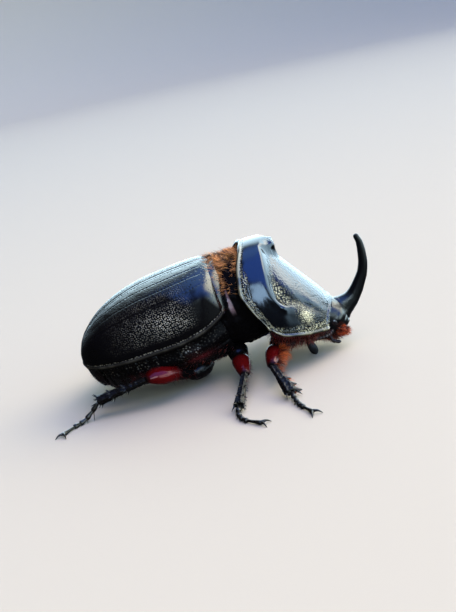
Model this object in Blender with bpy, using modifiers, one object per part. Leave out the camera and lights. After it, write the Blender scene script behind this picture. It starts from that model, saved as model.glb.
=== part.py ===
"""A male rhinoceros beetle at life size, standing on its six feet with its forebody bowed.

Run it with: blender --background --python part.py
The beetle faces +X with its left side towards +Y, and its feet stand on Z = 0.
"""

import math

import bmesh
import bpy
from mathutils import Matrix, Vector

# Sizes and places are in millimetres and are turned into metres where a mesh is made.
MM = 0.001
GAP = 0.3

# The hind body has an axis of its own, which rises towards the front.
HIND_PITCH = math.radians(13.5)
HIND_ORIGIN = Vector((-11.0, 0.0, 10.0))

# Wing cases, along the hind axis.
CASE_FRONT = 13.9
CASE_REAR = -12.4
CASE_WIDEST = -0.8
CASE_HALF_WIDTH = 11.3
CASE_SHOULDER_REACH = 15.8
CASE_HIGHEST = 2.2
CASE_HEIGHT = 7.75
CASE_THICKNESS = 0.7
CASE_POWER = 2.25
CASE_LIP = -0.45
CASE_SAG = ((-12.4, 0.0), (-7.0, 0.4), (0.0, 1.2), (5.0, 1.7), (8.0, 1.6), (11.0, 1.0), (13.9, 0.1))
CASE_ARCS = 10

# Body under the wing cases, along the hind axis.
BELLY_DEPTH = 8.1
BELLY_DEEPENS = 0.13
BELLY_REAR = -12.5
BELLY_TURNS_UP = -5.5
BELLY_POWER = 2.2
BODY_INSET = CASE_THICKNESS + GAP + 0.05
TAIL_INSET = 0.8
BODY_FRONT = 11.3
THORAX_REAR = 0.4
ABDOMEN_REAR = -10.2
STERNITES = 6
STERNITE_STEP = 0.16

# The scutellum: place along the hind axis and half width, then how it drops in front.
SCUTELLUM_LINE = ((9.6, 0.3), (10.3, 1.0), (11.3, 1.9), (12.4, 2.6), (13.4, 2.9), (14.1, 2.4))
SCUTELLUM_BENDS = 12.2
SCUTELLUM_FALL = 0.5
SCUTELLUM_THICKNESS = 0.8

# The neck: place along X, height of its middle, half width and half height.
NECK_LINE = (
    (0.4, 11.9, 7.7, 7.1), (1.8, 11.7, 7.8, 7.3), (3.2, 11.7, 7.7, 7.6), (5.0, 11.8, 7.3, 7.6),
    (7.6, 11.8, 6.4, 7.0),
)
NECK_POWER = 2.2

# Shield over the forebody (the pronotum), in the beetle's own frame.
SHIELD_PLAN = ((3.9, 9.5), (7.5, 10.1), (9.5, 10.1), (12.0, 9.6), (14.0, 8.7), (16.0, 7.1), (18.7, 5.2))
SHIELD_TOP = ((4.0, 20.4), (6.0, 20.9), (9.0, 21.1), (11.0, 20.6), (13.0, 19.0), (15.0, 16.2), (18.7, 9.4))
SHIELD_EDGE = ((4.0, 10.2), (7.4, 8.4), (9.5, 6.9), (12.4, 6.2), (16.8, 5.2), (18.7, 5.0))
SHIELD_HIND = ((0, 7.4), (10, 5.4), (25, 4.1), (45, 4.4), (70, 5.4), (90, 6.0))
SHIELD_FRONT_CORNER = 16.8
SHIELD_FRONT_REACH = 1.9
SHIELD_POWER = 2.15
CREST_FRONT = 11.4
SLOPE_TOP = 17.5
SLOPE_FALL = 1.17
CREST_WALL = 12.0
CREST_WALL_ASIDE = 3.0
CREST_FOOT_SOFTNESS = (0.35, 1.0)
CREST_CORNER = 2.2
CREST_CORNER_SPAN = (0.9, 3.8)
SCOOP_SWEEP = 3.6
SCOOP_HALF_SPAN = 8.0
SCOOP_SHOULDER = (5.0, 9.0)
SCOOP_SOFTNESS = 2.0
HOLLOW_DEPTH = 1.35
HOLLOW_START = ((13, 0.42), (18, 0.41), (24, 0.37), (35, 0.33), (47, 0.31), (63, 0.28), (80, 0.24))
HOLLOW_LENGTHWISE = (0.02, 0.14, 0.38, 0.6)
HOLLOW_UPRIGHT = (13, 25, 62, 96)
RIM = 0.9
KNOB_SPREAD = 1.7
KNOB_RADIUS = 0.7
KNOB_HEIGHT = 19.75
SHIELD_ARCS = 28
SHIELD_STATIONS = (
    0.0, 0.06, 0.14, 0.24, 0.32, 0.37, 0.41, 0.45, 0.49, 0.53, 0.6, 0.68, 0.76, 0.84, 0.91, 0.97, 1.0,
)

# Breast plate: where its rings lie, and the height of its underside at places along X.
BREAST_STATIONS = (7.7, 8.6, 10.0, 11.6, 13.2, 14.8, 16.2, 17.0)
BREAST_UNDERSIDE = ((7.7, 4.2), (9.0, 3.5), (12.0, 3.3), (17.0, 3.7))
BREAST_INSET = 1.5
BREAST_POWER = 2.4

# Head and horn, in the beetle's own frame.
HEAD_PITCH = math.radians(-40)
HEAD_START = Vector((16.6, 0.0, 6.6))
HEAD_LINE = (
    (-0.6, 0.0, 3.4, 2.3), (0.8, 0.1, 3.9, 2.8), (2.0, 0.1, 4.0, 2.9), (3.2, 0.1, 3.5, 2.5),
    (3.9, 0.2, 2.7, 1.7), (4.4, 0.35, 2.2, 1.1), (4.8, 0.5, 1.8, 0.55),
)
HEAD_POWER = 2.3
HORN_LINE = (
    (19.8, 0.0, 5.7, 1.75, 1.55),
    (21.1, 0.0, 6.6, 1.45, 1.4),
    (22.55, 0.0, 8.1, 1.2, 1.2),
    (23.8, 0.0, 10.0, 0.98, 0.98),
    (24.65, 0.0, 11.8, 0.82, 0.84),
    (25.0, 0.0, 13.5, 0.74, 0.76),
    (25.05, 0.0, 15.1, 0.66, 0.68),
    (24.95, 0.0, 16.5, 0.56, 0.58),
    (24.6, 0.0, 17.6, 0.45, 0.47),
)

# Mouth parts, by how far along the head, above its axis and to the side each point lies, then two radii.
LIP_LINE = (
    (1.4, -2.9, 0.0, 1.6, 0.7), (2.8, -2.75, 0.0, 1.9, 1.0), (3.8, -2.1, 0.0, 1.6, 0.9),
    (4.6, -1.5, 0.0, 1.0, 0.6),
)
JAW_LINE = ((3.2, -0.8, 2.75, 0.72, 0.66), (4.1, -0.72, 2.72, 0.7, 0.56), (4.85, -0.5, 2.2, 0.46, 0.4))
PALP_LINE = (
    (2.6, -2.2, 2.4, 0.3, 0.3), (3.2, -2.8, 2.9, 0.28, 0.28), (4.2, -2.9, 2.8, 0.36, 0.36),
    (4.9, -2.6, 2.6, 0.26, 0.26),
)

# Feelers of the left side, in the beetle's own frame.
STALK_LINE = (
    (17.6, 3.7, 4.0, 0.4, 0.4), (16.6, 4.9, 3.7, 0.42, 0.42), (15.0, 5.7, 3.8, 0.32, 0.32),
    (13.9, 5.9, 3.9, 0.34, 0.34),
)
CLUB_START = (13.3, 5.95, 3.75)
CLUB_END = (14.15, 6.0, 1.75)
LEAF_LINE = ((0.0, 0.35), (0.3, 0.62), (0.65, 0.68), (0.92, 0.5), (1.0, 0.3))
LEAF_HALF_THICKNESS = 0.26
LEAF_SPREAD = 0.42

EYE_PLACE = Vector((18.2, 3.3, 5.3))
EYE_RADIUS = 0.9

# Legs. Each names the places of root, hip, knee and ankle, then the way of the foot over the floor.
FOOT_RADIUS = 0.42
FOOT_HEIGHT = 0.36
FOOT_JOINTS = (1.35, 1.2, 1.2, 1.2, 2.7)
FOOT_FALL = (0.5, 0.15, 0.0, 0.0, 0.0)
HIP_BREADTH = 1.2
HIP_LINE = ((0.0, 0.95), (0.35, 1.15), (0.75, 1.05), (1.0, 0.75))
THIGH_LINE = ((0.0, 0.72), (0.18, 0.95), (0.45, 1.08), (0.75, 0.9), (1.0, 0.62))
THIGH_BOW = 0.5
TOOTH_REACH = 1.55
TOOTH_RADIUS = 0.6
TOOTH_SPACING = 0.22
SPINE_ROWS = ((0.42, 0.62), (0.7, 0.72), (0.95, 0.8))
LEGS = {
    "front_right": {
        "root": (9.4, -2.6, 4.6), "hip": (8.2, -5.2, 3.7), "knee": (6.6, -12.6, 3.6),
        "ankle": (8.4, -18.9, 1.1), "heading": -84, "turn": 4,
        "thigh": 1.2, "shin": (0.6, 1.1), "teeth": 3,
    },
    "mid_right": {
        "root": (1.8, -2.6, 4.4), "hip": (2.0, -5.4, 3.5), "knee": (2.2, -13.2, 3.4),
        "ankle": (0.4, -19.6, 1.1), "heading": -104, "turn": 15,
        "thigh": 1.25, "shin": (0.55, 0.9), "teeth": 0,
    },
    "hind_right": {
        "root": (-3.7, -2.8, 3.1), "hip": (-6.0, -6.2, 2.9), "knee": (-12.6, -11.0, 5.2),
        "ankle": (-20.9, -9.9, 3.1), "heading": -178, "turn": 13,
        "thigh": 1.55, "shin": (0.6, 1.0), "teeth": 0,
    },
    "front_left": {
        "root": (9.4, 2.6, 4.6), "hip": (9.0, 5.2, 3.7), "knee": (9.0, 12.3, 4.0),
        "ankle": (12.6, 17.0, 1.1), "heading": 56, "turn": 5,
        "thigh": 1.2, "shin": (0.6, 1.1), "teeth": 3,
    },
    "mid_left": {
        "root": (1.8, 2.6, 4.4), "hip": (1.5, 5.4, 3.5), "knee": (-0.3, 12.4, 4.2),
        "ankle": (-3.9, 17.6, 1.1), "heading": 118, "turn": -17,
        "thigh": 1.25, "shin": (0.55, 0.9), "teeth": 0,
    },
    "hind_left": {
        "root": (-3.7, 2.8, 3.1), "hip": (-6.0, 6.2, 2.9), "knee": (-11.2, 12.6, 4.2),
        "ankle": (-16.9, 17.9, 1.2), "heading": 140, "turn": 5,
        "thigh": 1.55, "shin": (0.6, 1.0), "teeth": 0,
    },
}

# Finish of each kind of surface: colour, roughness.
FINISHES = {
    "wing_case": ((0.012, 0.013, 0.018), 0.3),
    "shield": ((0.012, 0.014, 0.022), 0.2),
    "horn": ((0.008, 0.009, 0.012), 0.25),
    "underside": ((0.045, 0.012, 0.008), 0.35),
    "neck": ((0.16, 0.06, 0.02), 0.6),
    "thigh": ((0.13, 0.012, 0.01), 0.2),
    "shin": ((0.014, 0.011, 0.01), 0.3),
    "eye": ((0.01, 0.008, 0.008), 0.15),
    "feeler": ((0.09, 0.025, 0.012), 0.35),
}


def start_empty():
    """Removes whatever the scene holds and makes the collections."""
    for obj in list(bpy.data.objects):
        bpy.data.objects.remove(obj)
    beetle = bpy.data.collections.new("rhinoceros_beetle")
    bpy.context.scene.collection.children.link(beetle)
    return beetle


def finish_of(slot):
    """The material of one kind of surface."""
    found = bpy.data.materials.get(slot)
    if found:
        return found
    colour, roughness = FINISHES[slot]
    made = bpy.data.materials.new(slot)
    made.use_nodes = True
    shader = made.node_tree.nodes["Principled BSDF"]
    shader.inputs["Base Color"].default_value = (*colour, 1.0)
    shader.inputs["Roughness"].default_value = roughness
    shader.inputs["Metallic"].default_value = 0.0
    return made


def eased(points, at):
    """The value at a place on an outline of (place, value) points, smooth and never past its points."""
    if at <= points[0][0]:
        return points[0][1]
    if at >= points[-1][0]:
        return points[-1][1]
    steps = [(b[1] - a[1]) / (b[0] - a[0]) for a, b in zip(points, points[1:])]
    slopes = [steps[0]]
    for before, after in zip(steps, steps[1:]):
        slopes.append(0.0 if before * after <= 0 else 2 * before * after / (before + after))
    slopes.append(steps[-1])
    i = max(k for k in range(len(steps)) if points[k][0] <= at)
    width = points[i + 1][0] - points[i][0]
    t = (at - points[i][0]) / width
    start = (1 + 2 * t) * (1 - t) ** 2 * points[i][1] + t * (1 - t) ** 2 * width * slopes[i]
    end = t * t * (3 - 2 * t) * points[i + 1][1] + t * t * (t - 1) * width * slopes[i + 1]
    return start + end


def spline(rows, count):
    """count + 1 rows read evenly from a smooth curve through the given rows of numbers."""
    spans = [0.0]
    for a, b in zip(rows, rows[1:]):
        spans.append(spans[-1] + (Vector(b[:3]) - Vector(a[:3])).length)
    columns = [tuple(zip(spans, column)) for column in zip(*rows)]
    places = [spans[-1] * i / count for i in range(count + 1)]
    return [tuple(eased(column, place) for column in columns) for place in places]


def oval(angle, half_width, height, power):
    """(across, up) on a superellipse; the angle is 0 at the side and a quarter turn at the top."""
    across = math.copysign(abs(math.cos(angle)) ** (2 / power), math.cos(angle))
    up = math.copysign(abs(math.sin(angle)) ** (2 / power), math.sin(angle))
    return half_width * across, height * up


def put(name, mesh_builder, slot, parent):
    """Makes the object of a node from a bmesh in millimetres."""
    mesh_builder.transform(Matrix.Scale(MM, 4))
    mesh = bpy.data.meshes.new(name)
    mesh_builder.to_mesh(mesh)
    mesh_builder.free()
    mesh.materials.append(finish_of(slot))
    mesh.shade_smooth()
    obj = bpy.data.objects.new(name, mesh)
    BEETLE.objects.link(obj)
    obj.parent = parent
    return obj


def loft(name, rings, slot, parent=None, tail=None, nose=None):
    """A closed body skinned over rings of points, with a fan at each end."""
    bm = bmesh.new()
    rows = [[bm.verts.new(point) for point in ring] for ring in rings]
    count = len(rings[0])
    for a, b in zip(rows, rows[1:]):
        for i in range(count):
            j = (i + 1) % count
            bm.faces.new((a[i], a[j], b[j], b[i]))
    for row, ring, tip in ((rows[0], rings[0], tail), (rows[-1], rings[-1], nose)):
        middle = tip if tip is not None else sum(map(Vector, ring), Vector()) / count
        centre = bm.verts.new(middle)
        for i in range(count):
            bm.faces.new((row[i], row[(i + 1) % count], centre))
    bmesh.ops.recalc_face_normals(bm, faces=bm.faces)
    return put(name, bm, slot, parent)


def limb_rings(rows, up, sides):
    """Oval rings square to a path. Each row is a point, a half width and a half depth."""
    points = [Vector(row[:3]) for row in rows]
    rings = []
    for i, row in enumerate(rows):
        ahead = points[min(i + 1, len(points) - 1)] - points[max(i - 1, 0)]
        side = ahead.cross(up).normalized()
        lift = side.cross(ahead).normalized()
        ring = []
        for k in range(sides):
            angle = math.tau * k / sides
            ring.append(points[i] + side * row[3] * math.cos(angle) + lift * row[4] * math.sin(angle))
        rings.append(ring)
    return rings


def limb(name, rows, slot, up=(0, 0, 1), sides=10, parent=None, bulge=0.5):
    """A round-ended limb along a path; bulge is how far each end swells past its last ring."""
    first, last = Vector(rows[0][:3]), Vector(rows[-1][:3])
    tail = first + (first - Vector(rows[1][:3])).normalized() * rows[0][4] * bulge
    nose = last + (last - Vector(rows[-2][:3])).normalized() * rows[-1][4] * bulge
    return loft(name, limb_rings(rows, Vector(up), sides), slot, parent, tail, nose)


def spike(root, tip, radius, sides=5):
    """A cone from a sunk root to its tip, as a helper to be joined to a node."""
    root, tip = Vector(root), Vector(tip)
    bm = bmesh.new()
    bmesh.ops.create_cone(
        bm, cap_ends=True, segments=sides, radius1=radius, radius2=radius * 0.18, depth=(tip - root).length
    )
    turn = (tip - root).to_track_quat("Z", "Y").to_matrix().to_4x4()
    bm.transform(Matrix.Translation((root + tip) / 2) @ turn)
    return put("spike", bm, "shin", None)


def ball(centre, radii, slot="horn", rings=8, name="ball", parent=None):
    """An ellipsoid."""
    bm = bmesh.new()
    bmesh.ops.create_uvsphere(bm, u_segments=rings * 2, v_segments=rings, radius=1.0)
    bm.transform(Matrix.Translation(centre) @ Matrix.Diagonal((*radii, 1.0)))
    return put(name, bm, slot, parent)


def settle(obj):
    """Bakes an object's modifiers into its mesh."""
    bpy.context.view_layer.update()
    graph = bpy.context.evaluated_depsgraph_get()
    made = bpy.data.meshes.new_from_object(obj.evaluated_get(graph))
    obj.modifiers.clear()
    old, obj.data = obj.data, made
    bpy.data.meshes.remove(old)


def keep_largest(obj):
    """Leaves only the closed surface that holds the most, after a union or a cut."""
    bm = bmesh.new()
    bm.from_mesh(obj.data)
    bmesh.ops.triangulate(bm, faces=bm.faces)
    todo = set(bm.verts)
    bodies = []
    while todo:
        stack = [todo.pop()]
        body = set(stack)
        while stack:
            for edge in stack.pop().link_edges:
                for vert in edge.verts:
                    if vert in todo:
                        todo.remove(vert)
                        body.add(vert)
                        stack.append(vert)
        bodies.append(body)

    def held(body):
        faces = {face for vert in body for face in vert.link_faces}
        return sum(f.verts[0].co.dot(f.verts[1].co.cross(f.verts[2].co)) for f in faces)

    bodies.sort(key=held)
    for body in bodies[:-1]:
        bmesh.ops.delete(bm, geom=list(body), context="VERTS")
    bmesh.ops.dissolve_degenerate(bm, dist=0.002 * MM, edges=bm.edges)
    bm.to_mesh(obj.data)
    bm.free()


def join(obj, pieces):
    """Fuses loose pieces into a node with one union, then removes them."""
    helpers = bpy.data.collections.new("pieces_of_" + obj.name)
    bpy.context.scene.collection.children.link(helpers)
    for piece in pieces:
        BEETLE.objects.unlink(piece)
        helpers.objects.link(piece)
    union = obj.modifiers.new("union", "BOOLEAN")
    union.operation = "UNION"
    union.operand_type = "COLLECTION"
    union.collection = helpers
    union.solver = "EXACT"
    settle(obj)
    keep_largest(obj)
    for piece in pieces:
        bpy.data.objects.remove(piece)
    bpy.data.collections.remove(helpers)
    obj.data.shade_smooth()
    return obj


def carve(obj, *neighbours, gap=GAP):
    """Cuts a node clear of its neighbours, each of them grown by the gap."""
    for neighbour in neighbours:
        cutter = neighbour.copy()
        cutter.data = neighbour.data.copy()
        BEETLE.objects.link(cutter)
        bm = bmesh.new()
        bm.from_mesh(cutter.data)
        bm.normal_update()
        moves = [vert.normal * gap * MM for vert in bm.verts]
        for vert, move in zip(bm.verts, moves):
            vert.co += move
        bm.to_mesh(cutter.data)
        bm.free()
        cut = obj.modifiers.new("clearance", "BOOLEAN")
        cut.operation = "DIFFERENCE"
        cut.object = cutter
        cut.solver = "EXACT"
        settle(obj)
        keep_largest(obj)
        bpy.data.objects.remove(cutter)
    obj.data.shade_smooth()
    return obj


def case_half_width(x):
    """Half width of the closed wing cases at a place along the hind axis."""
    if x > CASE_WIDEST:
        reach = (x - CASE_WIDEST) / CASE_SHOULDER_REACH
        return CASE_HALF_WIDTH * (1 - reach**3.4) ** (1 / 3.4)
    reach = min(1.0, (CASE_WIDEST - x) / (CASE_WIDEST - CASE_REAR))
    return CASE_HALF_WIDTH * (1 - reach**2.3) ** (1 / 2.3)


def case_height(x):
    """Height of the closed wing cases over their side margin."""
    if x > CASE_HIGHEST:
        return CASE_HEIGHT * math.sqrt(1 - ((x - CASE_HIGHEST) / 24) ** 2)
    return CASE_HEIGHT * math.sqrt(max(0.0, 1 - ((CASE_HIGHEST - x) / (CASE_HIGHEST - CASE_REAR)) ** 2))


def case_stations(count):
    """Places along the hind axis from the shoulders to the rear, closer where the rear rounds off."""
    front = [CASE_FRONT + (CASE_WIDEST - CASE_FRONT) * i / count for i in range(count)]
    rear = [CASE_WIDEST + (CASE_REAR - CASE_WIDEST) * math.sin(math.pi / 2 * i / count) for i in range(count)]
    return front + rear


def wing_case(side, frame):
    """One wing case: a curved shell from the side margin to the seam along the back."""
    bm = bmesh.new()
    rows = []
    for x in case_stations(9):
        half_width, sag = case_half_width(x), eased(CASE_SAG, x)
        row = []
        for k in range(CASE_ARCS + 1):
            across, up = oval(math.pi / 2 * k / CASE_ARCS, half_width, case_height(x) + sag, CASE_POWER)
            across = GAP / 2 + across * (1 - GAP / 2 / half_width)
            row.append(bm.verts.new((x, side * across, up - sag)))
        lip = bm.verts.new((x, side * half_width * 0.985, CASE_LIP - sag))
        rows.append([lip] + row)
    tip = bm.verts.new((CASE_REAR, side * GAP / 2, CASE_LIP / 2))
    for a, b in zip(rows, rows[1:]):
        for k in range(CASE_ARCS + 1):
            bm.faces.new((a[k], a[k + 1], b[k + 1], b[k]))
    for k in range(CASE_ARCS + 1):
        bm.faces.new((rows[-1][k], rows[-1][k + 1], tip))
    bmesh.ops.recalc_face_normals(bm, faces=bm.faces)
    bm.faces.ensure_lookup_table()
    if bm.faces[CASE_ARCS // 2].normal.dot(Vector((0, side, 1))) < 0:
        bmesh.ops.reverse_faces(bm, faces=bm.faces)
    name = "wing_case_left" if side > 0 else "wing_case_right"
    obj = put(name, bm, "wing_case", frame)
    shell = obj.modifiers.new("thickness", "SOLIDIFY")
    shell.thickness = CASE_THICKNESS * MM
    shell.offset = -1.0
    shell.use_even_offset = True
    settle(obj)
    return obj


def belly_depth(x):
    """Depth of the underside below the wing cases' margin."""
    depth = BELLY_DEPTH + BELLY_DEEPENS * x
    if x < BELLY_TURNS_UP:
        reach = min(1.0, (BELLY_TURNS_UP - x) / (BELLY_TURNS_UP - BELLY_REAR))
        depth *= (1 - reach**2.6) ** (1 / 2.6)
    return depth


def body_ring(x, swell=0.0, sides=22, ceiling=None):
    """One ring of the body: an arch that clears the wing cases, over the rounded underside."""
    towards_end = BODY_INSET if x > CASE_WIDEST else -BODY_INSET
    inset_x = min(max(x + towards_end, CASE_REAR), CASE_FRONT)
    half_width = max(0.6, case_half_width(inset_x) - BODY_INSET)
    height = max(0.4, case_height(inset_x) - BODY_INSET)
    if ceiling is not None:
        half_width = max(0.6, case_half_width(max(x, CASE_REAR)) - TAIL_INSET)
    sag = eased(CASE_SAG, inset_x)
    ring = []
    for k in range(sides):
        angle = math.tau * k / sides
        if math.sin(angle) >= 0:
            across, up = oval(angle, half_width, height + sag, CASE_POWER)
        else:
            across, up = oval(angle, half_width + swell, belly_depth(x) - sag + swell, BELLY_POWER)
        up -= sag
        ring.append((x, across, up if ceiling is None else min(up, ceiling)))
    return ring


def abdomen(frame):
    """The abdomen, with each belly plate standing a little proud of the one behind it."""
    rings = []
    span = (THORAX_REAR - GAP - ABDOMEN_REAR) / STERNITES
    for k in range(STERNITES):
        start = ABDOMEN_REAR + span * k
        rings.append(body_ring(start, -STERNITE_STEP))
        rings.append(body_ring(start + span * 0.25, STERNITE_STEP * 0.4))
        rings.append(body_ring(start + span * 0.9, STERNITE_STEP))
    rings.append(body_ring(THORAX_REAR - GAP, -STERNITE_STEP))
    return loft("abdomen", rings, "underside", frame)


def tail_plate(frame):
    """The rounded plate that closes the abdomen behind, under the tips of the wing cases."""
    start = ABDOMEN_REAR - GAP
    end = BELLY_REAR + 0.12
    rings = []
    for i in range(7):
        rings.append(body_ring(start + (end - start) * math.sin(math.pi / 2 * i / 6), ceiling=CASE_LIP - GAP))
    return loft("tail_plate", rings, "underside", frame)


def hind_thorax(frame):
    """The thorax under the wing cases, which carries the middle and hind legs."""
    rings = [body_ring(THORAX_REAR + (BODY_FRONT - THORAX_REAR) * i / 6) for i in range(7)]
    return loft("hind_thorax", rings, "underside", frame)


def scutellum(frame):
    """The small heart-shaped plate let in between the bases of the wing cases."""
    rings = []
    for x, half_width in SCUTELLUM_LINE:
        top = case_height(min(x, CASE_FRONT)) - SCUTELLUM_FALL * max(0.0, x - SCUTELLUM_BENDS)
        low = top - SCUTELLUM_THICKNESS
        ring = [(x, half_width * (k / 2 - 1), top - 0.08 * half_width * (k / 2 - 1) ** 2) for k in range(5)]
        rings.append(ring + [(x, half_width * 0.8, low), (x, -half_width * 0.8, low)])
    return loft("scutellum", rings, "neck", frame)


def neck():
    """The middle of the body between the shield and the wing cases."""
    rings = []
    for x, middle, half_width, half_height in NECK_LINE:
        ring = []
        for k in range(20):
            across, up = oval(math.tau * k / 20, half_width, half_height, NECK_POWER)
            ring.append((x, across, middle + up))
        rings.append(ring)
    return loft("neck", rings, "neck")


def soft_minimum(a, b):
    """The lower of two heights, with the corner where they meet rounded off."""
    near = max(SCOOP_SOFTNESS - abs(a - b), 0.0) / SCOOP_SOFTNESS
    return min(a, b) - near * near * SCOOP_SOFTNESS / 4


def ramp(value, start, end):
    """Rises smoothly from 0 at the start to 1 at the end."""
    share = min(1.0, max(0.0, (value - start) / (end - start)))
    return share * share * (3 - 2 * share)


def hollow(along, rise):
    """Depth of the hollow in the side of the shield, in front of its smooth hind band."""
    starts, deep, shallow, ends = HOLLOW_LENGTHWISE
    ahead = along - eased(HOLLOW_START, rise)
    lengthwise = ramp(ahead, starts, deep) * (1 - ramp(ahead, shallow, ends))
    starts, deep, shallow, ends = HOLLOW_UPRIGHT
    upright = ramp(rise, starts, deep) * (1 - ramp(rise, shallow, ends))
    return HOLLOW_DEPTH * lengthwise * upright


def scoop(x, across):
    """Height of the scooped front: a long slope below a wall, which fades to the sides of the crest."""
    reach = abs(across)
    aside = ramp(reach, *CREST_CORNER_SPAN)
    bends, ends = SCOOP_SHOULDER
    reach -= max(0.0, reach - bends) ** 2 / (2 * (ends - bends))
    slope = SLOPE_TOP + SLOPE_FALL * (CREST_FRONT - x - SCOOP_SWEEP * (reach / SCOOP_HALF_SPAN) ** 2)
    behind = CREST_FRONT - x - CREST_CORNER * aside
    wall = CREST_WALL + (CREST_WALL_ASIDE - CREST_WALL) * aside
    sharp, soft = CREST_FOOT_SOFTNESS
    softness = sharp + (soft - sharp) * aside
    near = max(softness - abs(behind), 0.0) / softness
    return slope + wall * (max(0.0, behind) + near * near * softness / 4)


def shield_point(along, angle):
    """A point of the shield: along is 0 at its hind margin and 1 at its front, the angle 0 at one side."""
    rise = math.degrees(min(angle, math.pi - angle))
    hind = eased(SHIELD_HIND, rise)
    front = SHIELD_FRONT_CORNER + SHIELD_FRONT_REACH * math.sin(angle)
    x = hind + (front - hind) * along
    edge = eased(SHIELD_EDGE, x)
    across, up = oval(angle, eased(SHIELD_PLAN, x), eased(SHIELD_TOP, x) - edge, SHIELD_POWER)
    inward = 1 - hollow(along, rise) / math.hypot(across, up) if up else 1.0
    across, up = across * inward, up * inward
    height = edge + up
    return Vector((x, across, soft_minimum(height, scoop(x, across))))


def shield_ring(along):
    """One ring of the shield: over the top from side to side, then back across underneath."""
    ring = [shield_point(along, math.pi * k / SHIELD_ARCS) for k in range(SHIELD_ARCS + 1)]
    left, right = ring[-1], ring[0]
    return ring + [left.lerp(right, share) for share in (0.25, 0.5, 0.75)]


def shield():
    """The pronotum: a tall hump scooped out in front, with a rim behind that hoods the neck."""
    rings = [shield_ring(along) for along in SHIELD_STATIONS]
    hind = rings[0]
    middle = sum(hind, Vector()) / len(hind)
    inner = [point + (middle - point).normalized() * RIM for point in hind]
    deep = [point + Vector((1.3, 0, 0)) for point in inner]
    obj = loft("shield", [deep, inner] + rings, "shield", tail=Vector((7.4, 0, 13.5)))
    radii = (KNOB_RADIUS * 1.15, KNOB_RADIUS, KNOB_RADIUS * 0.8)
    knobs = [ball((CREST_FRONT - 0.4, side * KNOB_SPREAD, KNOB_HEIGHT), radii, rings=5) for side in (-1, 1)]
    return join(obj, knobs)


def breast_plate():
    """The underside of the forebody, below the shield and between the front legs."""
    rings = []
    for x in BREAST_STATIONS:
        edge = eased(SHIELD_EDGE, x) - GAP - 0.05
        half_width = eased(SHIELD_PLAN, x) - BREAST_INSET
        depth = edge - eased(BREAST_UNDERSIDE, x)
        top = [(x, half_width * (1 - k / 2), edge) for k in range(1, 4)]
        under = []
        for k in range(11):
            across, up = oval(math.pi + math.pi * k / 10, half_width, depth, BREAST_POWER)
            under.append((x, across, edge + up))
        rings.append(under + top)
    return loft("breast_plate", rings, "underside")


def along_head(reach, lift=0.0, side=0.0):
    """A place on the head, by how far along its axis, above it and to the side it lies."""
    ahead = Vector((math.cos(HEAD_PITCH), 0, math.sin(HEAD_PITCH)))
    above = Vector((-math.sin(HEAD_PITCH), 0, math.cos(HEAD_PITCH)))
    return HEAD_START + ahead * reach + above * lift + Vector((0, side, 0))


def head():
    """The head capsule, which ends in the narrow plate over the mouth."""
    rings = []
    for reach, lift, half_width, half_height in HEAD_LINE:
        ring = []
        for k in range(20):
            across, up = oval(math.tau * k / 20, half_width, half_height, HEAD_POWER)
            ring.append(along_head(reach, lift + up, across))
        rings.append(ring)
    return loft("head", rings, "shield")


def horn():
    """The long horn, which sweeps up from the brow and curves back at its tip."""
    return limb("horn", spline(HORN_LINE, 16), "horn", up=(0, 1, 0), sides=12, bulge=0.7)


def on_head(line, side=1):
    """The rows of a limb from a line of places on the head, mirrored for the right side."""
    return [(*along_head(reach, lift, side * out), wide, deep) for reach, lift, out, wide, deep in line]


def mouth_parts():
    """The lower lip, the two jaws beside it and the two palps that hang from them."""
    made = [limb("lower_lip", spline(on_head(LIP_LINE), 6), "underside", up=(1, 0, 1), sides=12)]
    for side, word in ((-1, "right"), (1, "left")):
        made.append(limb(f"jaw_{word}", spline(on_head(JAW_LINE, side), 4), "horn", up=(1, 0, 1), sides=8))
        made.append(limb(f"palp_{word}", spline(on_head(PALP_LINE, side), 8), "feeler", sides=8))
    return made


def feeler(side, word):
    """An antenna: a bent stalk, and the club of three leaves at its end."""
    line = [(x, side * y, z, wide, deep) for x, y, z, wide, deep in STALK_LINE]
    stalk = limb(f"feeler_{word}", spline(line, 10), "feeler", sides=8)
    start, end = (Vector((x, side * y, z)) for x, y, z in (CLUB_START, CLUB_END))
    leaves = []
    for k in (-1, 0, 1):
        slant = Vector((0.0, side * LEAF_SPREAD * k, 0.0))
        rows = [(*(start.lerp(end, share) + slant * min(1.0, 0.4 + share)), wide, LEAF_HALF_THICKNESS)
                for share, wide in LEAF_LINE]
        leaves.append(limb(f"club_{word}" if k == -1 else "leaf", rows, "feeler", up=(0, 1, 0), sides=8))
    return stalk, join(leaves[0], leaves[1:])


def eyes():
    """The two eyes, set low on the sides of the head."""
    made = []
    for side, word in ((-1, "right"), (1, "left")):
        place = Vector((EYE_PLACE.x, side * EYE_PLACE.y, EYE_PLACE.z))
        radii = (EYE_RADIUS, EYE_RADIUS * 0.9, EYE_RADIUS)
        made.append(ball(place, radii, "eye", 8, f"eye_{word}"))
    return made


def thigh(name, leg):
    """The stout femur."""
    hip, knee, thick = Vector(leg["hip"]), Vector(leg["knee"]), leg["thigh"]
    rows = []
    for share, size in THIGH_LINE:
        bow = Vector((0, 0, THIGH_BOW)) * math.sin(math.pi * share)
        rows.append((*(hip.lerp(knee, share) + bow), thick * size * 1.08, thick * size * 0.85))
    return limb(name + "_thigh", spline(rows, 8), "thigh", sides=10, bulge=0.6)


def hip(name, leg):
    """The short coxa that carries the leg on the underside."""
    root, end = Vector(leg["root"]), Vector(leg["hip"])
    rows = []
    for share, size in HIP_LINE:
        radius = leg["thigh"] * size
        rows.append((*root.lerp(end, share), radius * HIP_BREADTH, radius))
    return limb(name + "_hip", rows, "underside", sides=10, bulge=0.5)


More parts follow.
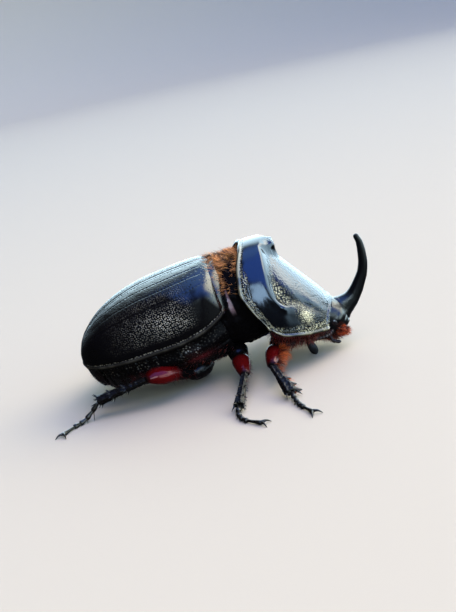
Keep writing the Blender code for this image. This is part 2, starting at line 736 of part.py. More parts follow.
def shin_axes(leg):
    """The way along the shin, the way to the edge that bears its teeth and the way up from it."""
    knee, ankle = Vector(leg["knee"]), Vector(leg["ankle"])
    ahead = (ankle - knee).normalized()
    side = ahead.cross(Vector((0, 0, 1))).normalized()
    return ahead, (side if ankle.y > 0 else -side), side.cross(ahead)


def shin(name, leg):
    """The tibia, which broadens towards the foot."""
    knee, ankle = Vector(leg["knee"]), Vector(leg["ankle"])
    narrow, wide = leg["shin"]
    flatness = 0.62 if leg["teeth"] else 0.85
    widths = ((-0.04, narrow * 0.9), (0.12, narrow), (0.4, narrow * 1.15), (0.75, wide * 0.85), (1.0, wide))
    rows = [(*knee.lerp(ankle, share), size, size * flatness) for share, size in widths]
    return limb(name + "_shin", spline(rows, 8), "shin", sides=8, bulge=0.15)


def digging_teeth(leg):
    """The teeth along the outer edge of a front shin."""
    knee, ankle = Vector(leg["knee"]), Vector(leg["ankle"])
    ahead, outward, _ = shin_axes(leg)
    made = []
    for k in range(leg["teeth"]):
        root = knee.lerp(ankle, 0.95 - TOOTH_SPACING * k) + outward * leg["shin"][0] * 0.2
        tip = root + outward * TOOTH_REACH * (1 - 0.1 * k) + ahead * 0.6
        made.append(spike(root - ahead * 0.35, tip, TOOTH_RADIUS * (1 - 0.1 * k)))
    return made


def spine_rows(leg):
    """The slanting rows of spines around a middle or hind shin."""
    knee, ankle = Vector(leg["knee"]), Vector(leg["ankle"])
    ahead, outward, lift = shin_axes(leg)
    narrow, wide = leg["shin"]
    made = []
    for share, reach in SPINE_ROWS:
        girth = narrow + (wide - narrow) * share
        for k in range(5):
            angle = math.radians(-110 + 55 * k)
            out = outward * math.cos(angle) + lift * math.sin(angle)
            root = knee.lerp(ankle, share) + out * girth * 0.35
            made.append(spike(root, root + out * (girth * 0.65 + reach * 0.5) + ahead * reach, 0.24))
    return made


def spurs(leg):
    """The two long spurs beside the start of the foot."""
    ankle, wide = Vector(leg["ankle"]), leg["shin"][1]
    ahead, outward, _ = shin_axes(leg)
    made = []
    for way in (-1, 1):
        root = ankle - ahead * 0.5 + outward * way * wide * 0.5
        made.append(spike(root, ankle + ahead * 1.3 + outward * way * wide * 1.1, 0.26))
    return made


def foot_path(leg):
    """Points of the foot: down from the ankle, then along the floor on its heading."""
    place = Vector(leg["ankle"])
    heading = math.radians(leg["heading"])
    points = [place.copy()]
    for length, fall in zip(FOOT_JOINTS, FOOT_FALL):
        place = place + Vector((math.cos(heading), math.sin(heading), 0)) * length
        place.z = FOOT_HEIGHT + (leg["ankle"][2] - FOOT_HEIGHT) * fall
        points.append(place.copy())
        heading += math.radians(leg["turn"])
    return points, heading


def flatten(obj, level):
    """Presses whatever lies below a level up to it, so that a piece rests on small flats."""
    for vert in obj.data.vertices:
        vert.co.z = max(vert.co.z, level * MM)
    return obj


def foot(name, leg):
    """The tarsus: five beads on a string and two hooked claws, lying on the floor."""
    points, heading = foot_path(leg)
    rows = []
    for a, b in zip(points, points[1:]):
        last = b is points[-1]
        slim, swell = (0.6, 0.85) if last else (0.66, 1.0)
        for share, size in ((0.04, slim), (0.55, slim * 1.18), (0.9, swell)):
            radius = FOOT_RADIUS * size
            rows.append((*a.lerp(b, share), radius, radius))
    obj = flatten(limb(name + "_foot", rows, "shin", sides=8, bulge=0.4), 0.0)
    end = points[-1]
    claws = []
    for way, splay, lift in ((-1, 36, 0.0), (1, 41, 0.04)):
        splay = heading + way * math.radians(splay)
        out = Vector((math.cos(splay), math.sin(splay), 0))
        rows = (
            (*(end - out * 0.3 + Vector((0, 0, lift))), 0.26, 0.26),
            (*(end + out * 0.5 + Vector((0, 0, 0.12 + lift))), 0.24, 0.24),
            (*(end + out * 1.0 + Vector((0, 0, 0.02 + lift))), 0.19, 0.19),
            (*(end + out * 1.45 + Vector((0, 0, -0.26 + lift))), 0.1, 0.1),
        )
        claws.append(flatten(limb("claw", rows, "shin", sides=6, bulge=0.3), 0.05))
    return join(obj, claws)


def build_leg(name, leg, trunk):
    """One leg from hip to claws, each piece cut clear of the one that it grows from."""
    coxa = carve(hip(name, leg), *trunk)
    femur = carve(thigh(name, leg), coxa, *trunk)
    tibia = carve(shin(name, leg), femur)
    carve(foot(name, leg), tibia)
    join(tibia, (digging_teeth(leg) or spine_rows(leg)) + spurs(leg))


def centre_on_origin(root):
    """Moves the whole beetle so that its box is centred over the origin."""
    bpy.context.view_layer.update()
    corners = [o.matrix_world @ Vector(c) for o in BEETLE.objects if o.type == "MESH" for c in o.bound_box]
    for axis in (0, 1):
        places = [corner[axis] for corner in corners]
        root.location[axis] = -(min(places) + max(places)) / 2


def main():
    """Builds the beetle."""
    root = bpy.data.objects.new("beetle", None)
    BEETLE.objects.link(root)
    hind_axis = bpy.data.objects.new("hind_axis", None)
    BEETLE.objects.link(hind_axis)
    hind_axis.location = HIND_ORIGIN * MM
    hind_axis.rotation_euler = (0, -HIND_PITCH, 0)

    plate = scutellum(hind_axis)
    cases = [carve(wing_case(side, hind_axis), plate) for side in (-1, 1)]
    belly = abdomen(hind_axis)
    tail_plate(hind_axis)
    thorax = hind_thorax(hind_axis)
    carve(plate, thorax)

    cover = shield()
    breast = breast_plate()
    collar = carve(neck(), cover, breast, thorax, plate, *cases)

    skull = carve(head(), cover, breast)
    skull_eyes = eyes()
    carve(skull, *skull_eyes)
    carve(horn(), skull)
    lip, *others = mouth_parts()
    carve(lip, skull, breast)
    for piece in others:
        carve(piece, skull, lip)
    for side, word in ((-1, "right"), (1, "left")):
        stalk, club = feeler(side, word)
        carve(stalk, skull, breast)
        carve(club, stalk)

    for name, leg in LEGS.items():
        build_leg(name, leg, (thorax, belly, breast, collar, cover))

    for obj in BEETLE.objects:
        if obj.parent is None and obj is not root:
            obj.parent = root
    centre_on_origin(root)


BEETLE = start_empty()
main()
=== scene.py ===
# %% [markdown]
# ## A rhinoceros beetle, dressed
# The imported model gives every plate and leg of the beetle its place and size. This script lays a finer skin
# over each of them: pits, rims, ridges, joints, spines and hair. Nearly all of an insect is hard, smooth
# plate, so most pieces are made the same way: rings of points are worked out with numpy, moved in or out
# along the surface by small heights, and joined to a closed mesh. Sculpting by hand could give the same
# shapes, but a formula keeps each pit and rim at its true size and is easy to change.

# %% Load the frame
import math

import bpy
import numpy as np
from mathutils import Matrix, Vector


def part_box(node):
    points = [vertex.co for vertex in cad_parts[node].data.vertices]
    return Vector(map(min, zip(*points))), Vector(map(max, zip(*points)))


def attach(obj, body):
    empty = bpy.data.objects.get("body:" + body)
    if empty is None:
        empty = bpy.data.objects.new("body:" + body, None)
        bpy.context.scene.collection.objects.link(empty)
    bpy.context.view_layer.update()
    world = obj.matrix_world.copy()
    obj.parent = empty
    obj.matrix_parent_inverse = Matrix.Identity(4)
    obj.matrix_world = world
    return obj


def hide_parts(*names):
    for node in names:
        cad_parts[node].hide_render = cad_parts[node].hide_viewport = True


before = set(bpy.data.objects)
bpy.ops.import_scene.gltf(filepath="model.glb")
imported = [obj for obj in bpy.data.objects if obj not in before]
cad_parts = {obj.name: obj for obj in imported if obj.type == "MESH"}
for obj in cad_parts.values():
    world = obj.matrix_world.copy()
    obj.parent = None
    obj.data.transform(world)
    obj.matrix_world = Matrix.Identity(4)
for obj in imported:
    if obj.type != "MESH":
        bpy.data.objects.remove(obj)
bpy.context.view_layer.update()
print("nodes in the frame:", len(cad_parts))

# %% [markdown]
# ## Millimetres, and where the beetle stands
# The plates are worked out in millimetres in the beetle's own frame, with the head towards +X, its left
# side towards +Y and the floor at Z = 0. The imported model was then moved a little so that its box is
# centred. The right eye is a whole ball in both, so the middle of its box tells how far. The hind body has
# an axis that rises towards the front, because a beetle bends between the shield and the wing cases.

# %% Where things are
MM = 0.001
EYE_PLACE = np.array((18.2, 3.3, 5.3))
HIND_PITCH = math.radians(13.5)
HIND_ORIGIN = np.array((-11.0, 0.0, 10.0))
SIDES = ((1, "left"), (-1, "right"))

low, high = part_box("eye_right")
SHIFT = np.array((low + high) / 2) / MM - EYE_PLACE * (1, -1, 1)
SHIFT[2] = 0.0


def from_hind_axis(points):
    """Points of the hind body, turned from its own axis into the beetle's frame."""
    points = np.asarray(points, float)
    cos, sin = math.cos(HIND_PITCH), math.sin(HIND_PITCH)
    turned = points.copy()
    turned[..., 0] = points[..., 0] * cos - points[..., 2] * sin
    turned[..., 2] = points[..., 0] * sin + points[..., 2] * cos
    return turned + HIND_ORIGIN


print("the packed model was moved by", np.round(SHIFT, 3), "mm")

# %% [markdown]
# ## Outlines, ramps and chance
# A few small functions do most of the shaping. `eased` reads a smooth outline from a handful of points
# without ever swinging past them. `ramp` fades a feature in. `scattered` says how far each place is from
# the nearest of many dots strewn over a surface, which is how pits in shell are spread: evenly on the
# whole, but in no rows. `wobble` is smooth noise. All chance comes from fixed numbers, so each run gives
# the same beetle.


# %% Shaping helpers
def eased(points, at):
    """The value at each place on an outline of (place, value) points, smooth and never past its points."""
    places, values = (np.array(column, float) for column in zip(*points))
    widths = np.diff(places)
    steps = np.diff(values) / widths
    slopes = np.concatenate([steps[:1], np.zeros(len(steps) - 1), steps[-1:]])
    before, after = steps[:-1], steps[1:]
    turning = before * after <= 0
    slopes[1:-1] = np.where(turning, 0.0, 2 * before * after / np.where(turning, 1.0, before + after))
    at = np.clip(at, places[0], places[-1])
    i = np.clip(np.searchsorted(places, at, side="right") - 1, 0, len(widths) - 1)
    t = (at - places[i]) / widths[i]
    start = (1 + 2 * t) * (1 - t) ** 2 * values[i] + t * (1 - t) ** 2 * widths[i] * slopes[i]
    end = t * t * (3 - 2 * t) * values[i + 1] + t * t * (t - 1) * widths[i] * slopes[i + 1]
    return start + end


def ramp(value, start, end):
    """Rises smoothly from 0 at the start to 1 at the end; it falls where the end is the lower of the two."""
    share = np.clip((value - start) / (end - start), 0.0, 1.0)
    return share * share * (3 - 2 * share)


def bump(value, middle, width):
    """A smooth hump, 1 at its middle."""
    return np.exp(-(((value - middle) / width) ** 2))


def oval(angle, half_width, height, power):
    """(across, up) on a superellipse; the angle is 0 at the side and a quarter turn at the top."""
    cos, sin = np.cos(angle), np.sin(angle)
    across = np.sign(cos) * np.abs(cos) ** (2 / power)
    up = np.sign(sin) * np.abs(sin) ** (2 / power)
    return half_width * across, height * up


def all_round(count):
    """Angles at equal steps all the way round."""
    return np.arange(count) * math.tau / count


def luck(*cells, seed=0):
    """A fixed random number from 0 to 1 for each cell of a grid."""
    mixed = sum(cell * weight for cell, weight in zip(cells, (127.1, 311.7, 74.7))) + seed * 19.19
    return np.modf(np.abs(np.sin(mixed)) * 43758.5453)[0]


def wobble(points, size, seed=0):
    """Smooth random values from -1 to 1 in space, with features of a given size."""
    cells = np.asarray(points) / size
    corner = np.floor(cells)
    share = cells - corner
    share = share * share * (3 - 2 * share)
    total = 0.0
    for step in np.ndindex(2, 2, 2):
        weight = np.prod(np.where(step, share, 1 - share), axis=-1)
        total = total + weight * luck(*np.moveaxis(corner + step, -1, 0), seed=seed)
    return 2 * total - 1


def scattered(u, v, spacing, seed=0):
    """Distance from each place to the nearest of many strewn dots, and a random number for that dot."""
    column, row = np.floor(u / spacing), np.floor(v / spacing)
    nearest, chance = np.full(np.shape(u), np.inf), np.zeros(np.shape(u))
    for i in (-1, 0, 1):
        for j in (-1, 0, 1):
            a, b = column + i, row + j
            dot_u = (a + 0.15 + 0.7 * luck(a, b, seed=seed)) * spacing
            dot_v = (b + 0.15 + 0.7 * luck(a, b, seed=seed + 1)) * spacing
            distance = np.hypot(dot_u - u, dot_v - v)
            closer = distance < nearest
            nearest = np.where(closer, distance, nearest)
            chance = np.where(closer, luck(a, b, seed=seed + 2), chance)
    return nearest, chance


def pits(u, v, spacing, radius, seed=0):
    """Bowls from 0 at the rim to 1 at the bottom, strewn over a surface and unlike in size."""
    distance, chance = scattered(u, v, spacing, seed)
    return np.clip(1 - (distance / (radius * (0.65 + 0.5 * chance))) ** 2, 0, 1)


def unit(vectors):
    """Vectors made one long."""
    vectors = np.asarray(vectors, float)
    return vectors / np.maximum(np.linalg.norm(vectors, axis=-1, keepdims=True), 1e-9)


def lengths_along(points, axis=0):
    """How far along a line, or each line of a grid, every point lies."""
    steps = np.linalg.norm(np.diff(points, axis=axis), axis=-1)
    lengths = np.cumsum(steps, axis=axis)
    return np.concatenate([np.zeros_like(np.take(lengths, [0], axis=axis)), lengths], axis=axis)


def evenly(line, count):
    """A line of points read again at equal steps."""
    line = np.asarray(line, float)
    spans = lengths_along(line[:, :3])
    places = np.linspace(0, spans[-1], count)
    return np.stack([np.interp(places, spans, column) for column in line.T], axis=1)


def spline(rows, count):
    """Rows read evenly from a smooth curve through the given rows of numbers."""
    rows = np.asarray(rows, float)
    spans = lengths_along(rows[:, :3])
    places = np.linspace(0, spans[-1], count)
    return np.stack([eased(list(zip(spans, column)), places) for column in rows.T], axis=1)


print("a pit field keeps its spacing:", float(scattered(np.arange(9.0), np.zeros(9), 0.5)[0].max()) < 0.5)

# %% [markdown]
# ## From rings to meshes
# A body is a row of rings, like hoops in a sleeve, with a fan of triangles over each end. `outward` gives
# the direction straight out of the skin at each point, so that a rim or a pit is just a height along it.
# `make` puts one or more such bodies in one object, lets it ride on the beetle's body and hides the plain
# solid it stands for. Numbers kept on the points, such as where pits hold dust and painted glints and where
# shade is painted, go along for the materials to read.


# %% Mesh helpers
def outward(rings):
    """The direction straight out of a skin at each point of its rings."""
    around = np.roll(rings, -1, axis=1) - np.roll(rings, 1, axis=1)
    ways = unit(np.cross(around, np.gradient(rings, axis=0)))
    from_middle = rings - rings.mean(axis=1, keepdims=True)
    return ways * np.sign((ways * from_middle).sum())


def raised(rings, height):
    """Rings moved straight out of their skin by a height at each point."""
    return rings + outward(rings) * height[..., None]


def closed(rings, tail=None, nose=None, **marks):
    """A closed skin over rings of points, with a fan at each end and its marks on the points."""
    rings = np.asarray(rings, float)
    count, around = rings.shape[:2]
    tail = rings[0].mean(axis=0) if tail is None else np.asarray(tail, float)
    nose = rings[-1].mean(axis=0) if nose is None else np.asarray(nose, float)
    points = np.vstack([rings.reshape(-1, 3), tail, nose])
    i, j = np.meshgrid(np.arange(count - 1) * around, np.arange(around), indexing="ij")
    k = (j + 1) % around
    quads = np.stack([i + j, i + k, i + k + around, i + j + around], axis=-1).reshape(-1, 4)
    ring = np.arange(around)
    ahead = (ring + 1) % around
    last = (count - 1) * around
    fans = np.vstack([
        np.stack([ahead, ring, np.full(around, count * around)], axis=1),
        np.stack([last + ring, last + ahead, np.full(around, count * around + 1)], axis=1),
    ])
    corners = points[np.vstack([quads[:, :3], quads[:, [0, 2, 3]], fans])]
    volume = np.einsum("ij,ij->i", corners[:, 0], np.cross(corners[:, 1], corners[:, 2])).sum()
    if volume < 0:
        quads, fans = quads[:, ::-1], fans[:, ::-1]
    marks = {key: np.append(np.asarray(value, float).reshape(-1), (0, 0)) for key, value in marks.items()}
    return {"points": points, "quads": quads, "fans": fans, "marks": marks}


def evenly_marked(rings, **marks):
    """A closed skin whose marks are the same number all over."""
    return closed(rings, **{key: np.full(rings.shape[:2], value) for key, value in marks.items()})


def make(name, bodies, material, stands_for=()):
    """One object from closed bodies in millimetres. It rides on the beetle and stands for CAD nodes."""
    points, faces, start = [], [], 0
    for body in bodies:
        points.append(body["points"])
        faces += (body["quads"] + start).tolist() + (body["fans"] + start).tolist()
        start += len(body["points"])
    mesh = bpy.data.meshes.new(name)
    mesh.from_pydata(((np.vstack(points) + SHIFT) * MM).tolist(), [], faces)
    for key in sorted({key for body in bodies for key in body["marks"]}):
        values = [body["marks"].get(key, np.zeros(len(body["points"]))) for body in bodies]
        layer = mesh.attributes.new(key, "FLOAT", "POINT")
        layer.data.foreach_set("value", np.concatenate(values).astype(np.float32))
    mesh.materials.append(material)
    mesh.shade_smooth()
    obj = bpy.data.objects.new(name, mesh)
    bpy.context.scene.collection.objects.link(obj)
    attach(obj, "root")
    if stands_for:
        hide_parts(*stands_for)
    print(f"{name}: {len(faces)} faces")
    return obj


def domed(rows, tail=0.5, nose=0.5, steps=6):
    """Rows of a limb with a dome added at each end, as deep as tail and nose times the limb's radius."""
    rows = np.asarray(rows, float)

    def dome(end, inner, depth):
        way = unit(end[:3] - inner[:3])
        made = []
        for k in range(1, steps + 1):
            angle = math.pi / 2 * k / (steps + 0.4)
            place = end[:3] + way * end[4] * depth * math.sin(angle)
            made.append(np.concatenate([place, end[3:] * math.cos(angle)]))
        return made

    return np.vstack([dome(rows[0], rows[1], tail)[::-1], rows, dome(rows[-1], rows[-2], nose)])


def limb_rings(rows, up=(0, 0, 1), sides=24):
    """Oval rings square to a path. Each row is a point, a half width and a half depth."""
    rows = np.asarray(rows, float)
    ahead = unit(np.gradient(rows[:, :3], axis=0))
    side = unit(np.cross(ahead, np.asarray(up, float)))
    lift = unit(np.cross(side, ahead))
    angle = all_round(sides)
    across = side[:, None] * rows[:, 3, None, None] * np.cos(angle)[None, :, None]
    above = lift[:, None] * rows[:, 4, None, None] * np.sin(angle)[None, :, None]
    return rows[:, None, :3] + across + above


SPINE_TAPER = ((0.0, 1.25), (0.12, 1.05), (0.3, 0.85), (0.5, 0.66), (0.7, 0.46), (0.87, 0.27), (1.0, 0.1))


def spike(root, tip, radius, sides=9, bend=(0, 0, 0)):
    """A spine or tooth with a flared foot, curved towards a side by the bend, as a closed body."""
    root, tip, bend = (np.asarray(p, float) for p in (root, tip, bend))
    rows = []
    for share, size in SPINE_TAPER:
        place = root + (tip - root) * share + bend * share * (1 - share) * 4
        rows.append((*place, radius * size, radius * size))
    way = tip - root
    up = (0, 0, 1) if abs(way[2]) < 0.9 * np.linalg.norm(way) else (1, 0, 0)
    return closed(limb_rings(rows, up, sides))


# %% [markdown]
# ## Finishes
# Beetle shell is a dark plastic-like layer under a hard clear one, so each finish is a glossy dielectric
# with fine leathery bumps. One function builds them all: a colour that varies a little, the reddish warmth
# where the shell is thin, pale specks in the pits that are partly dust and partly painted glints, and a
# dark mark which turns a place black and takes its gloss. That mark is mostly painted shade, on the flanks,
# the rear, the underside, the shield's hollows, the horn and the small parts under the head, and partly the
# real black of leg joints and shins. The places come from the marks that the shapes carry, not from
# pictures. Values that are the same all over stay on the shader's own sockets.


# %% Material helper
# Black that the dark mark paints, mostly as painted shade.
PAINTED_SHADE_BLACK = (0.002, 0.0017, 0.0017)
DUST_ROUGHENS = 0.35


def finish(name, colour, roughness, warm=(0.06, 0.014, 0.006), dust=(0.3, 0.27, 0.21), vary=0.35, grain=0.11,
           relief=0.006, sheen_tint=None):
    """A procedural shell finish in millimetre-sized detail, which reads marks for warmth, painted shade and
    dust.
    """
    made = bpy.data.materials.new(name)
    made.use_nodes = True
    nodes, links = made.node_tree.nodes, made.node_tree.links
    shader = nodes["Principled BSDF"]
    place = nodes.new("ShaderNodeTexCoord")
    in_mm = nodes.new("ShaderNodeVectorMath")
    in_mm.operation = "SCALE"
    in_mm.inputs["Scale"].default_value = 1 / MM
    links.new(place.outputs["Object"], in_mm.inputs[0])

    def noise(size, detail):
        """Noise with features of a given size in millimetres."""
        node = nodes.new("ShaderNodeTexNoise")
        node.inputs["Scale"].default_value = 1 / size
        node.inputs["Detail"].default_value = detail
        links.new(in_mm.outputs[0], node.inputs["Vector"])
        return node.outputs["Fac"]

    def spread(value, low, high):
        """A value from 0 to 1 mapped to lie between two numbers."""
        node = nodes.new("ShaderNodeMapRange")
        node.inputs["To Min"].default_value = low
        node.inputs["To Max"].default_value = high
        links.new(value, node.inputs["Value"])
        return node.outputs["Result"]

    def mark(key):
        """A number that the mesh carries on its points."""
        node = nodes.new("ShaderNodeAttribute")
        node.attribute_name = key
        return node.outputs["Fac"]

    def mixed(share, first, second):
        """Two colours mixed; a colour is a socket or three numbers."""
        node = nodes.new("ShaderNodeMix")
        node.data_type = "RGBA"
        links.new(share, node.inputs["Factor"])
        for socket, value in ((node.inputs[6], first), (node.inputs[7], second)):
            if isinstance(value, tuple):
                socket.default_value = (*value, 1.0)
            else:
                links.new(value, socket)
        return node.outputs[2]

    lighter = tuple(min(1.0, c * (1 + vary)) for c in colour)
    darker = tuple(c * (1 - vary) for c in colour)
    base = mixed(noise(1.6, 3), darker, lighter)
    base = mixed(mark("warm"), base, warm)
    # The dark mark paints shade: the base colour turns black here.
    base = mixed(mark("dark"), base, PAINTED_SHADE_BLACK)
    base = mixed(mark("dust"), base, dust)
    links.new(base, shader.inputs["Base Color"])
    rough = nodes.new("ShaderNodeMath")
    rough.operation = "MULTIPLY_ADD"
    links.new(mark("dust"), rough.inputs[0])
    rough.inputs[1].default_value = DUST_ROUGHENS
    links.new(spread(noise(0.5, 4), roughness * 0.7, roughness * 1.35), rough.inputs[2])
    links.new(rough.outputs[0], shader.inputs["Roughness"])
    leather = nodes.new("ShaderNodeBump")
    leather.inputs["Distance"].default_value = relief * MM
    leather.inputs["Strength"].default_value = 1.0
    links.new(noise(grain, 5), leather.inputs["Height"])
    links.new(leather.outputs["Normal"], shader.inputs["Normal"])
    # Less gloss where the dark mark paints shade, and in the pale pits of dust and painted glints.
    gloss = nodes.new("ShaderNodeMath")
    gloss.operation = "MULTIPLY"
    links.new(spread(mark("dust"), 0.5, 0.15), gloss.inputs[0])
    links.new(spread(mark("dark"), 1.0, 0.03), gloss.inputs[1])
    links.new(gloss.outputs[0], shader.inputs["Specular IOR Level"])
    if sheen_tint:
        shader.inputs["Specular Tint"].default_value = (*sheen_tint, 1.0)
    return made


BLUE_SHEEN = (0.8, 0.9, 1.0)
# Colours of the pale pit specks: dust, and painted glints where the light catches the pits.
GOLD_DUST_AND_GLINT = (0.66, 0.6, 0.34)
PALE_DUST_AND_GLINT = (0.55, 0.49, 0.35)
CASE_FINISH = finish("wing_case_shell", (0.0014, 0.0014, 0.0016), 0.2, dust=PALE_DUST_AND_GLINT, grain=0.09,
                     sheen_tint=(1.0, 0.97, 0.84))
SHIELD_FINISH = finish("shield_shell", (0.0014, 0.0016, 0.002), 0.13, dust=GOLD_DUST_AND_GLINT, grain=0.16,
                       relief=0.003, sheen_tint=BLUE_SHEEN)
HORN_FINISH = finish("horn_shell", (0.0014, 0.0015, 0.0018), 0.32, grain=0.12, relief=0.004,
                     sheen_tint=(1.0, 0.95, 0.8))
BELLY_FINISH = finish("underside_shell", (0.003, 0.0016, 0.0013), 0.25, warm=(0.065, 0.004, 0.005))
COLLAR_FINISH = finish("collar_shell", (0.012, 0.004, 0.003), 0.34, warm=(0.13, 0.075, 0.075), grain=0.2,
                       relief=0.02)
THIGH_FINISH = finish("thigh_shell", (0.012, 0.0006, 0.0006), 0.17, warm=(0.075, 0.002, 0.002), relief=0.004,
                      sheen_tint=(0.66, 0.34, 0.32))
SHIN_FINISH = finish("shin_shell", (0.0035, 0.0026, 0.0022), 0.3, grain=0.12, relief=0.016,
                     sheen_tint=(1.0, 0.87, 0.66))
FEELER_FINISH = finish("feeler_shell", (0.02, 0.006, 0.004), 0.3)
CLUB_FINISH = finish("club_leaves", (0.004, 0.0025, 0.002), 0.4)
EYE_FINISH = finish("eye_facets", (0.012, 0.008, 0.007), 0.12, grain=0.06, relief=0.01)
print("finishes:", len(bpy.data.materials))

# %% [markdown]
# ## Wing cases
# The two hard fore wings close over the back and meet in a seam. Each has a rim bead along its side, a row
# of pits inside the bead, a smooth shoulder knob, four thin grooves along the back and a rough field of
# pits over the flank, where dust settles. Those pits are painted pale, partly as dust and partly as
# painted glints where the light catches them, and the lower flank and the rear are painted black and
# without gloss, as painted shade. A flat sheet with a bump texture would show none of this in outline, so
# each cross-section is a fine polyline read at equal steps, and every feature is a height along the skin.

# %% Wing case outline
CASE_FRONT = 13.9
CASE_REAR = -12.4
CASE_WIDEST = -0.8
CASE_HALF_WIDTH = 11.3
CASE_SHOULDER_REACH = 15.8
CASE_HIGHEST = 2.2
CASE_HEIGHT = 7.75
CASE_POWER = 2.25
CASE_SAG = ((-12.4, 0.0), (-7.0, 0.4), (0.0, 1.2), (5.0, 1.7), (8.0, 1.6), (11.0, 1.0), (13.9, 0.1))
CASE_WALL = 0.5
SEAM = 0.035


def case_half_width(x):
    """Half width of the closed wing cases at places along the hind axis."""
    ahead = np.clip((x - CASE_WIDEST) / CASE_SHOULDER_REACH, 0, 1)
    behind = np.clip((CASE_WIDEST - x) / (CASE_WIDEST - CASE_REAR), 0, 1)
    return CASE_HALF_WIDTH * (1 - ahead**3.4) ** (1 / 3.4) * (1 - behind**2.3) ** (1 / 2.3)


def case_height(x):
    """Height of the closed wing cases over their side margin."""
    ahead = np.clip((x - CASE_HIGHEST) / 24, 0, 1)
    behind = np.clip((CASE_HIGHEST - x) / (CASE_HIGHEST - CASE_REAR), 0, 1)
    return CASE_HEIGHT * np.sqrt(1 - ahead**2) * np.sqrt(1 - behind**2)


def case_section(x, outer, inner):
    """One wing case cut across: from the turned-in edge over the rim to the seam, then back inside."""
    half_width, height, sag = case_half_width(x), case_height(x), eased(CASE_SAG, x)
    angle = np.linspace(0, math.pi / 2, 300)
    across, up = oval(angle, half_width, height + sag, CASE_POWER)
    dome = np.stack([SEAM + across * (1 - SEAM / half_width), up - sag], axis=1)
    tuck = min(1.0, half_width / 3)
    fold = np.array([(-1.0, -0.2), (-0.8, -0.34), (-0.5, -0.4), (-0.22, -0.33), (-0.06, -0.18)]) * tuck
    fold = fold + (dome[0, 0], -sag)
    outside = evenly(np.insert(np.vstack([fold, dome]), 2, 0, axis=1), outer)
    wall = min(CASE_WALL, 0.35 * (height + 0.2), 0.35 * half_width)
    back = evenly(np.insert(dome[::-1], 1, 0, axis=1), inner)[:, [0, 2]]
    inward = unit(back - (0, -sag)) * wall
    back = np.maximum(back - inward, (SEAM, -sag - 0.2))
    return np.vstack([outside[:, :2], back]), lengths_along(fold)[-1] + 0.2


def case_places(count):
    """Places along the hind axis at equal steps over the back, from the shoulders to the rear."""
    share = np.linspace(0, 1, 600)
    x = CASE_FRONT + (CASE_REAR + 0.02 - CASE_FRONT) * np.sin(share * math.pi / 2)
    curve = np.stack([x, case_half_width(x) * 0.7, case_height(x) * 0.7], axis=1)
    return evenly(curve, count)[:, 0]


print("widest over the wing cases:", 2 * CASE_HALF_WIDTH, "mm")

# %% Wing case relief
CASE_ROWS = 380
CASE_OUTER = 250
CASE_INNER = 20
STRIAE = (1.7, 3.8, 5.9, 8.2)


def case_relief(x, length, rise, total):
    """Heights and marks over a wing case; rise is the way up from its rim, total the way to the seam."""
    from_seam = total - rise
    scaled = from_seam / total * 15.0
    height = 0.1 * bump(rise, 0.22, 0.16) - 0.09 * bump(rise, 0.55, 0.14)
    rim_row = bump(rise, 0.58, 0.1) * np.clip(pits(length, rise, 0.36, 0.15, seed=9) * 1.5, 0, 1)
    height -= 0.04 * rim_row
    height += 0.05 * bump(from_seam, 0.25, 0.3) - 0.07 * bump(from_seam, 0.85, 0.16)
    plain = 1.0
    for place in STRIAE:
        dots = (0.5 + 0.5 * np.cos(math.tau * (length + place) / 0.6)) ** 2
        height -= (0.04 + 0.03 * dots) * bump(scaled, place, 0.12) * ramp(x, 12.5, 10.5)
        plain = plain * (1 - 0.9 * bump(scaled, place, 0.2))
    share = rise / total
    knob = bump(x, 10.2, 1.5) * bump(share, 0.34, 0.11)
    height += 0.3 * knob - 0.12 * bump(x, 11.3, 1.5) * bump(share, 0.62, 0.12)
    height += 0.2 * bump(x, -8.5, 2.0) * bump(share, 0.4, 0.14)
    flank = ramp(share, 0.08, 0.16) * ramp(share, 0.9, 0.5) * ramp(x, 10.0, 6.0)
    pit = pits(length, rise, 0.31, 0.108, seed=3) * plain
    back_pit = pits(length, rise, 0.75, 0.14, seed=11)
    height -= (0.045 * pit * flank
               + 0.05 * back_pit * (1 - flank) * (1 - np.clip(knob * 1.6, 0, 1)) * ramp(rise, 0.9, 1.4))
    height += 0.02 * wobble(np.stack([length, rise, 0 * rise], -1), 1.3, 5)
    height -= 1.1 * (1 - np.sqrt(np.clip(1 - np.clip((x - CASE_FRONT + 2.2) / 2.2, 0, 1) ** 2, 0, 1)))
    height -= 0.5 * ramp(x, 10.8, 14.6) * ramp(share, 0.95, 0.7)
    # Painted glints: lit paints the flank pits paler where the light catches them.
    lit = (0.17 * ramp(x, -8.0, 1.0) * ramp(share, 0.75, 0.5)
           + 0.75 * bump(x, 4.2, 3.6) * bump(share, 0.24, 0.12))
    patchy = 0.45 + 0.55 * ramp(wobble(np.stack([length, rise, 0 * rise], -1), 0.9, 8), -0.4, 0.4)
    dust = (pit**1.5 * flank * ramp(x, 9.5, 7.5) * lit * patchy
            + (0.3 * rim_row + 0.05 * bump(rise, 0.2, 0.2)) * patchy)
    # Painted shade: below the sky line and at the rear the shell turns black and loses its gloss.
    sky_line = 0.56 - 0.24 * ramp(x, 4.0, 8.5) - 0.22 * ramp(x, 10.3, 12.4)
    painted_shade = ramp(share, sky_line + 0.1, sky_line - 0.05) * ramp(x, 12.9, 12.2)
    painted_shade = np.maximum(painted_shade, 0.9 * ramp(x, 0.0, -7.0))
    warm = 0.25 * ramp(x, 4.5, 9.5) * ramp(rise, 3.2, 1.0)
    return height, {"dust": dust, "warm": warm, "dark": painted_shade}


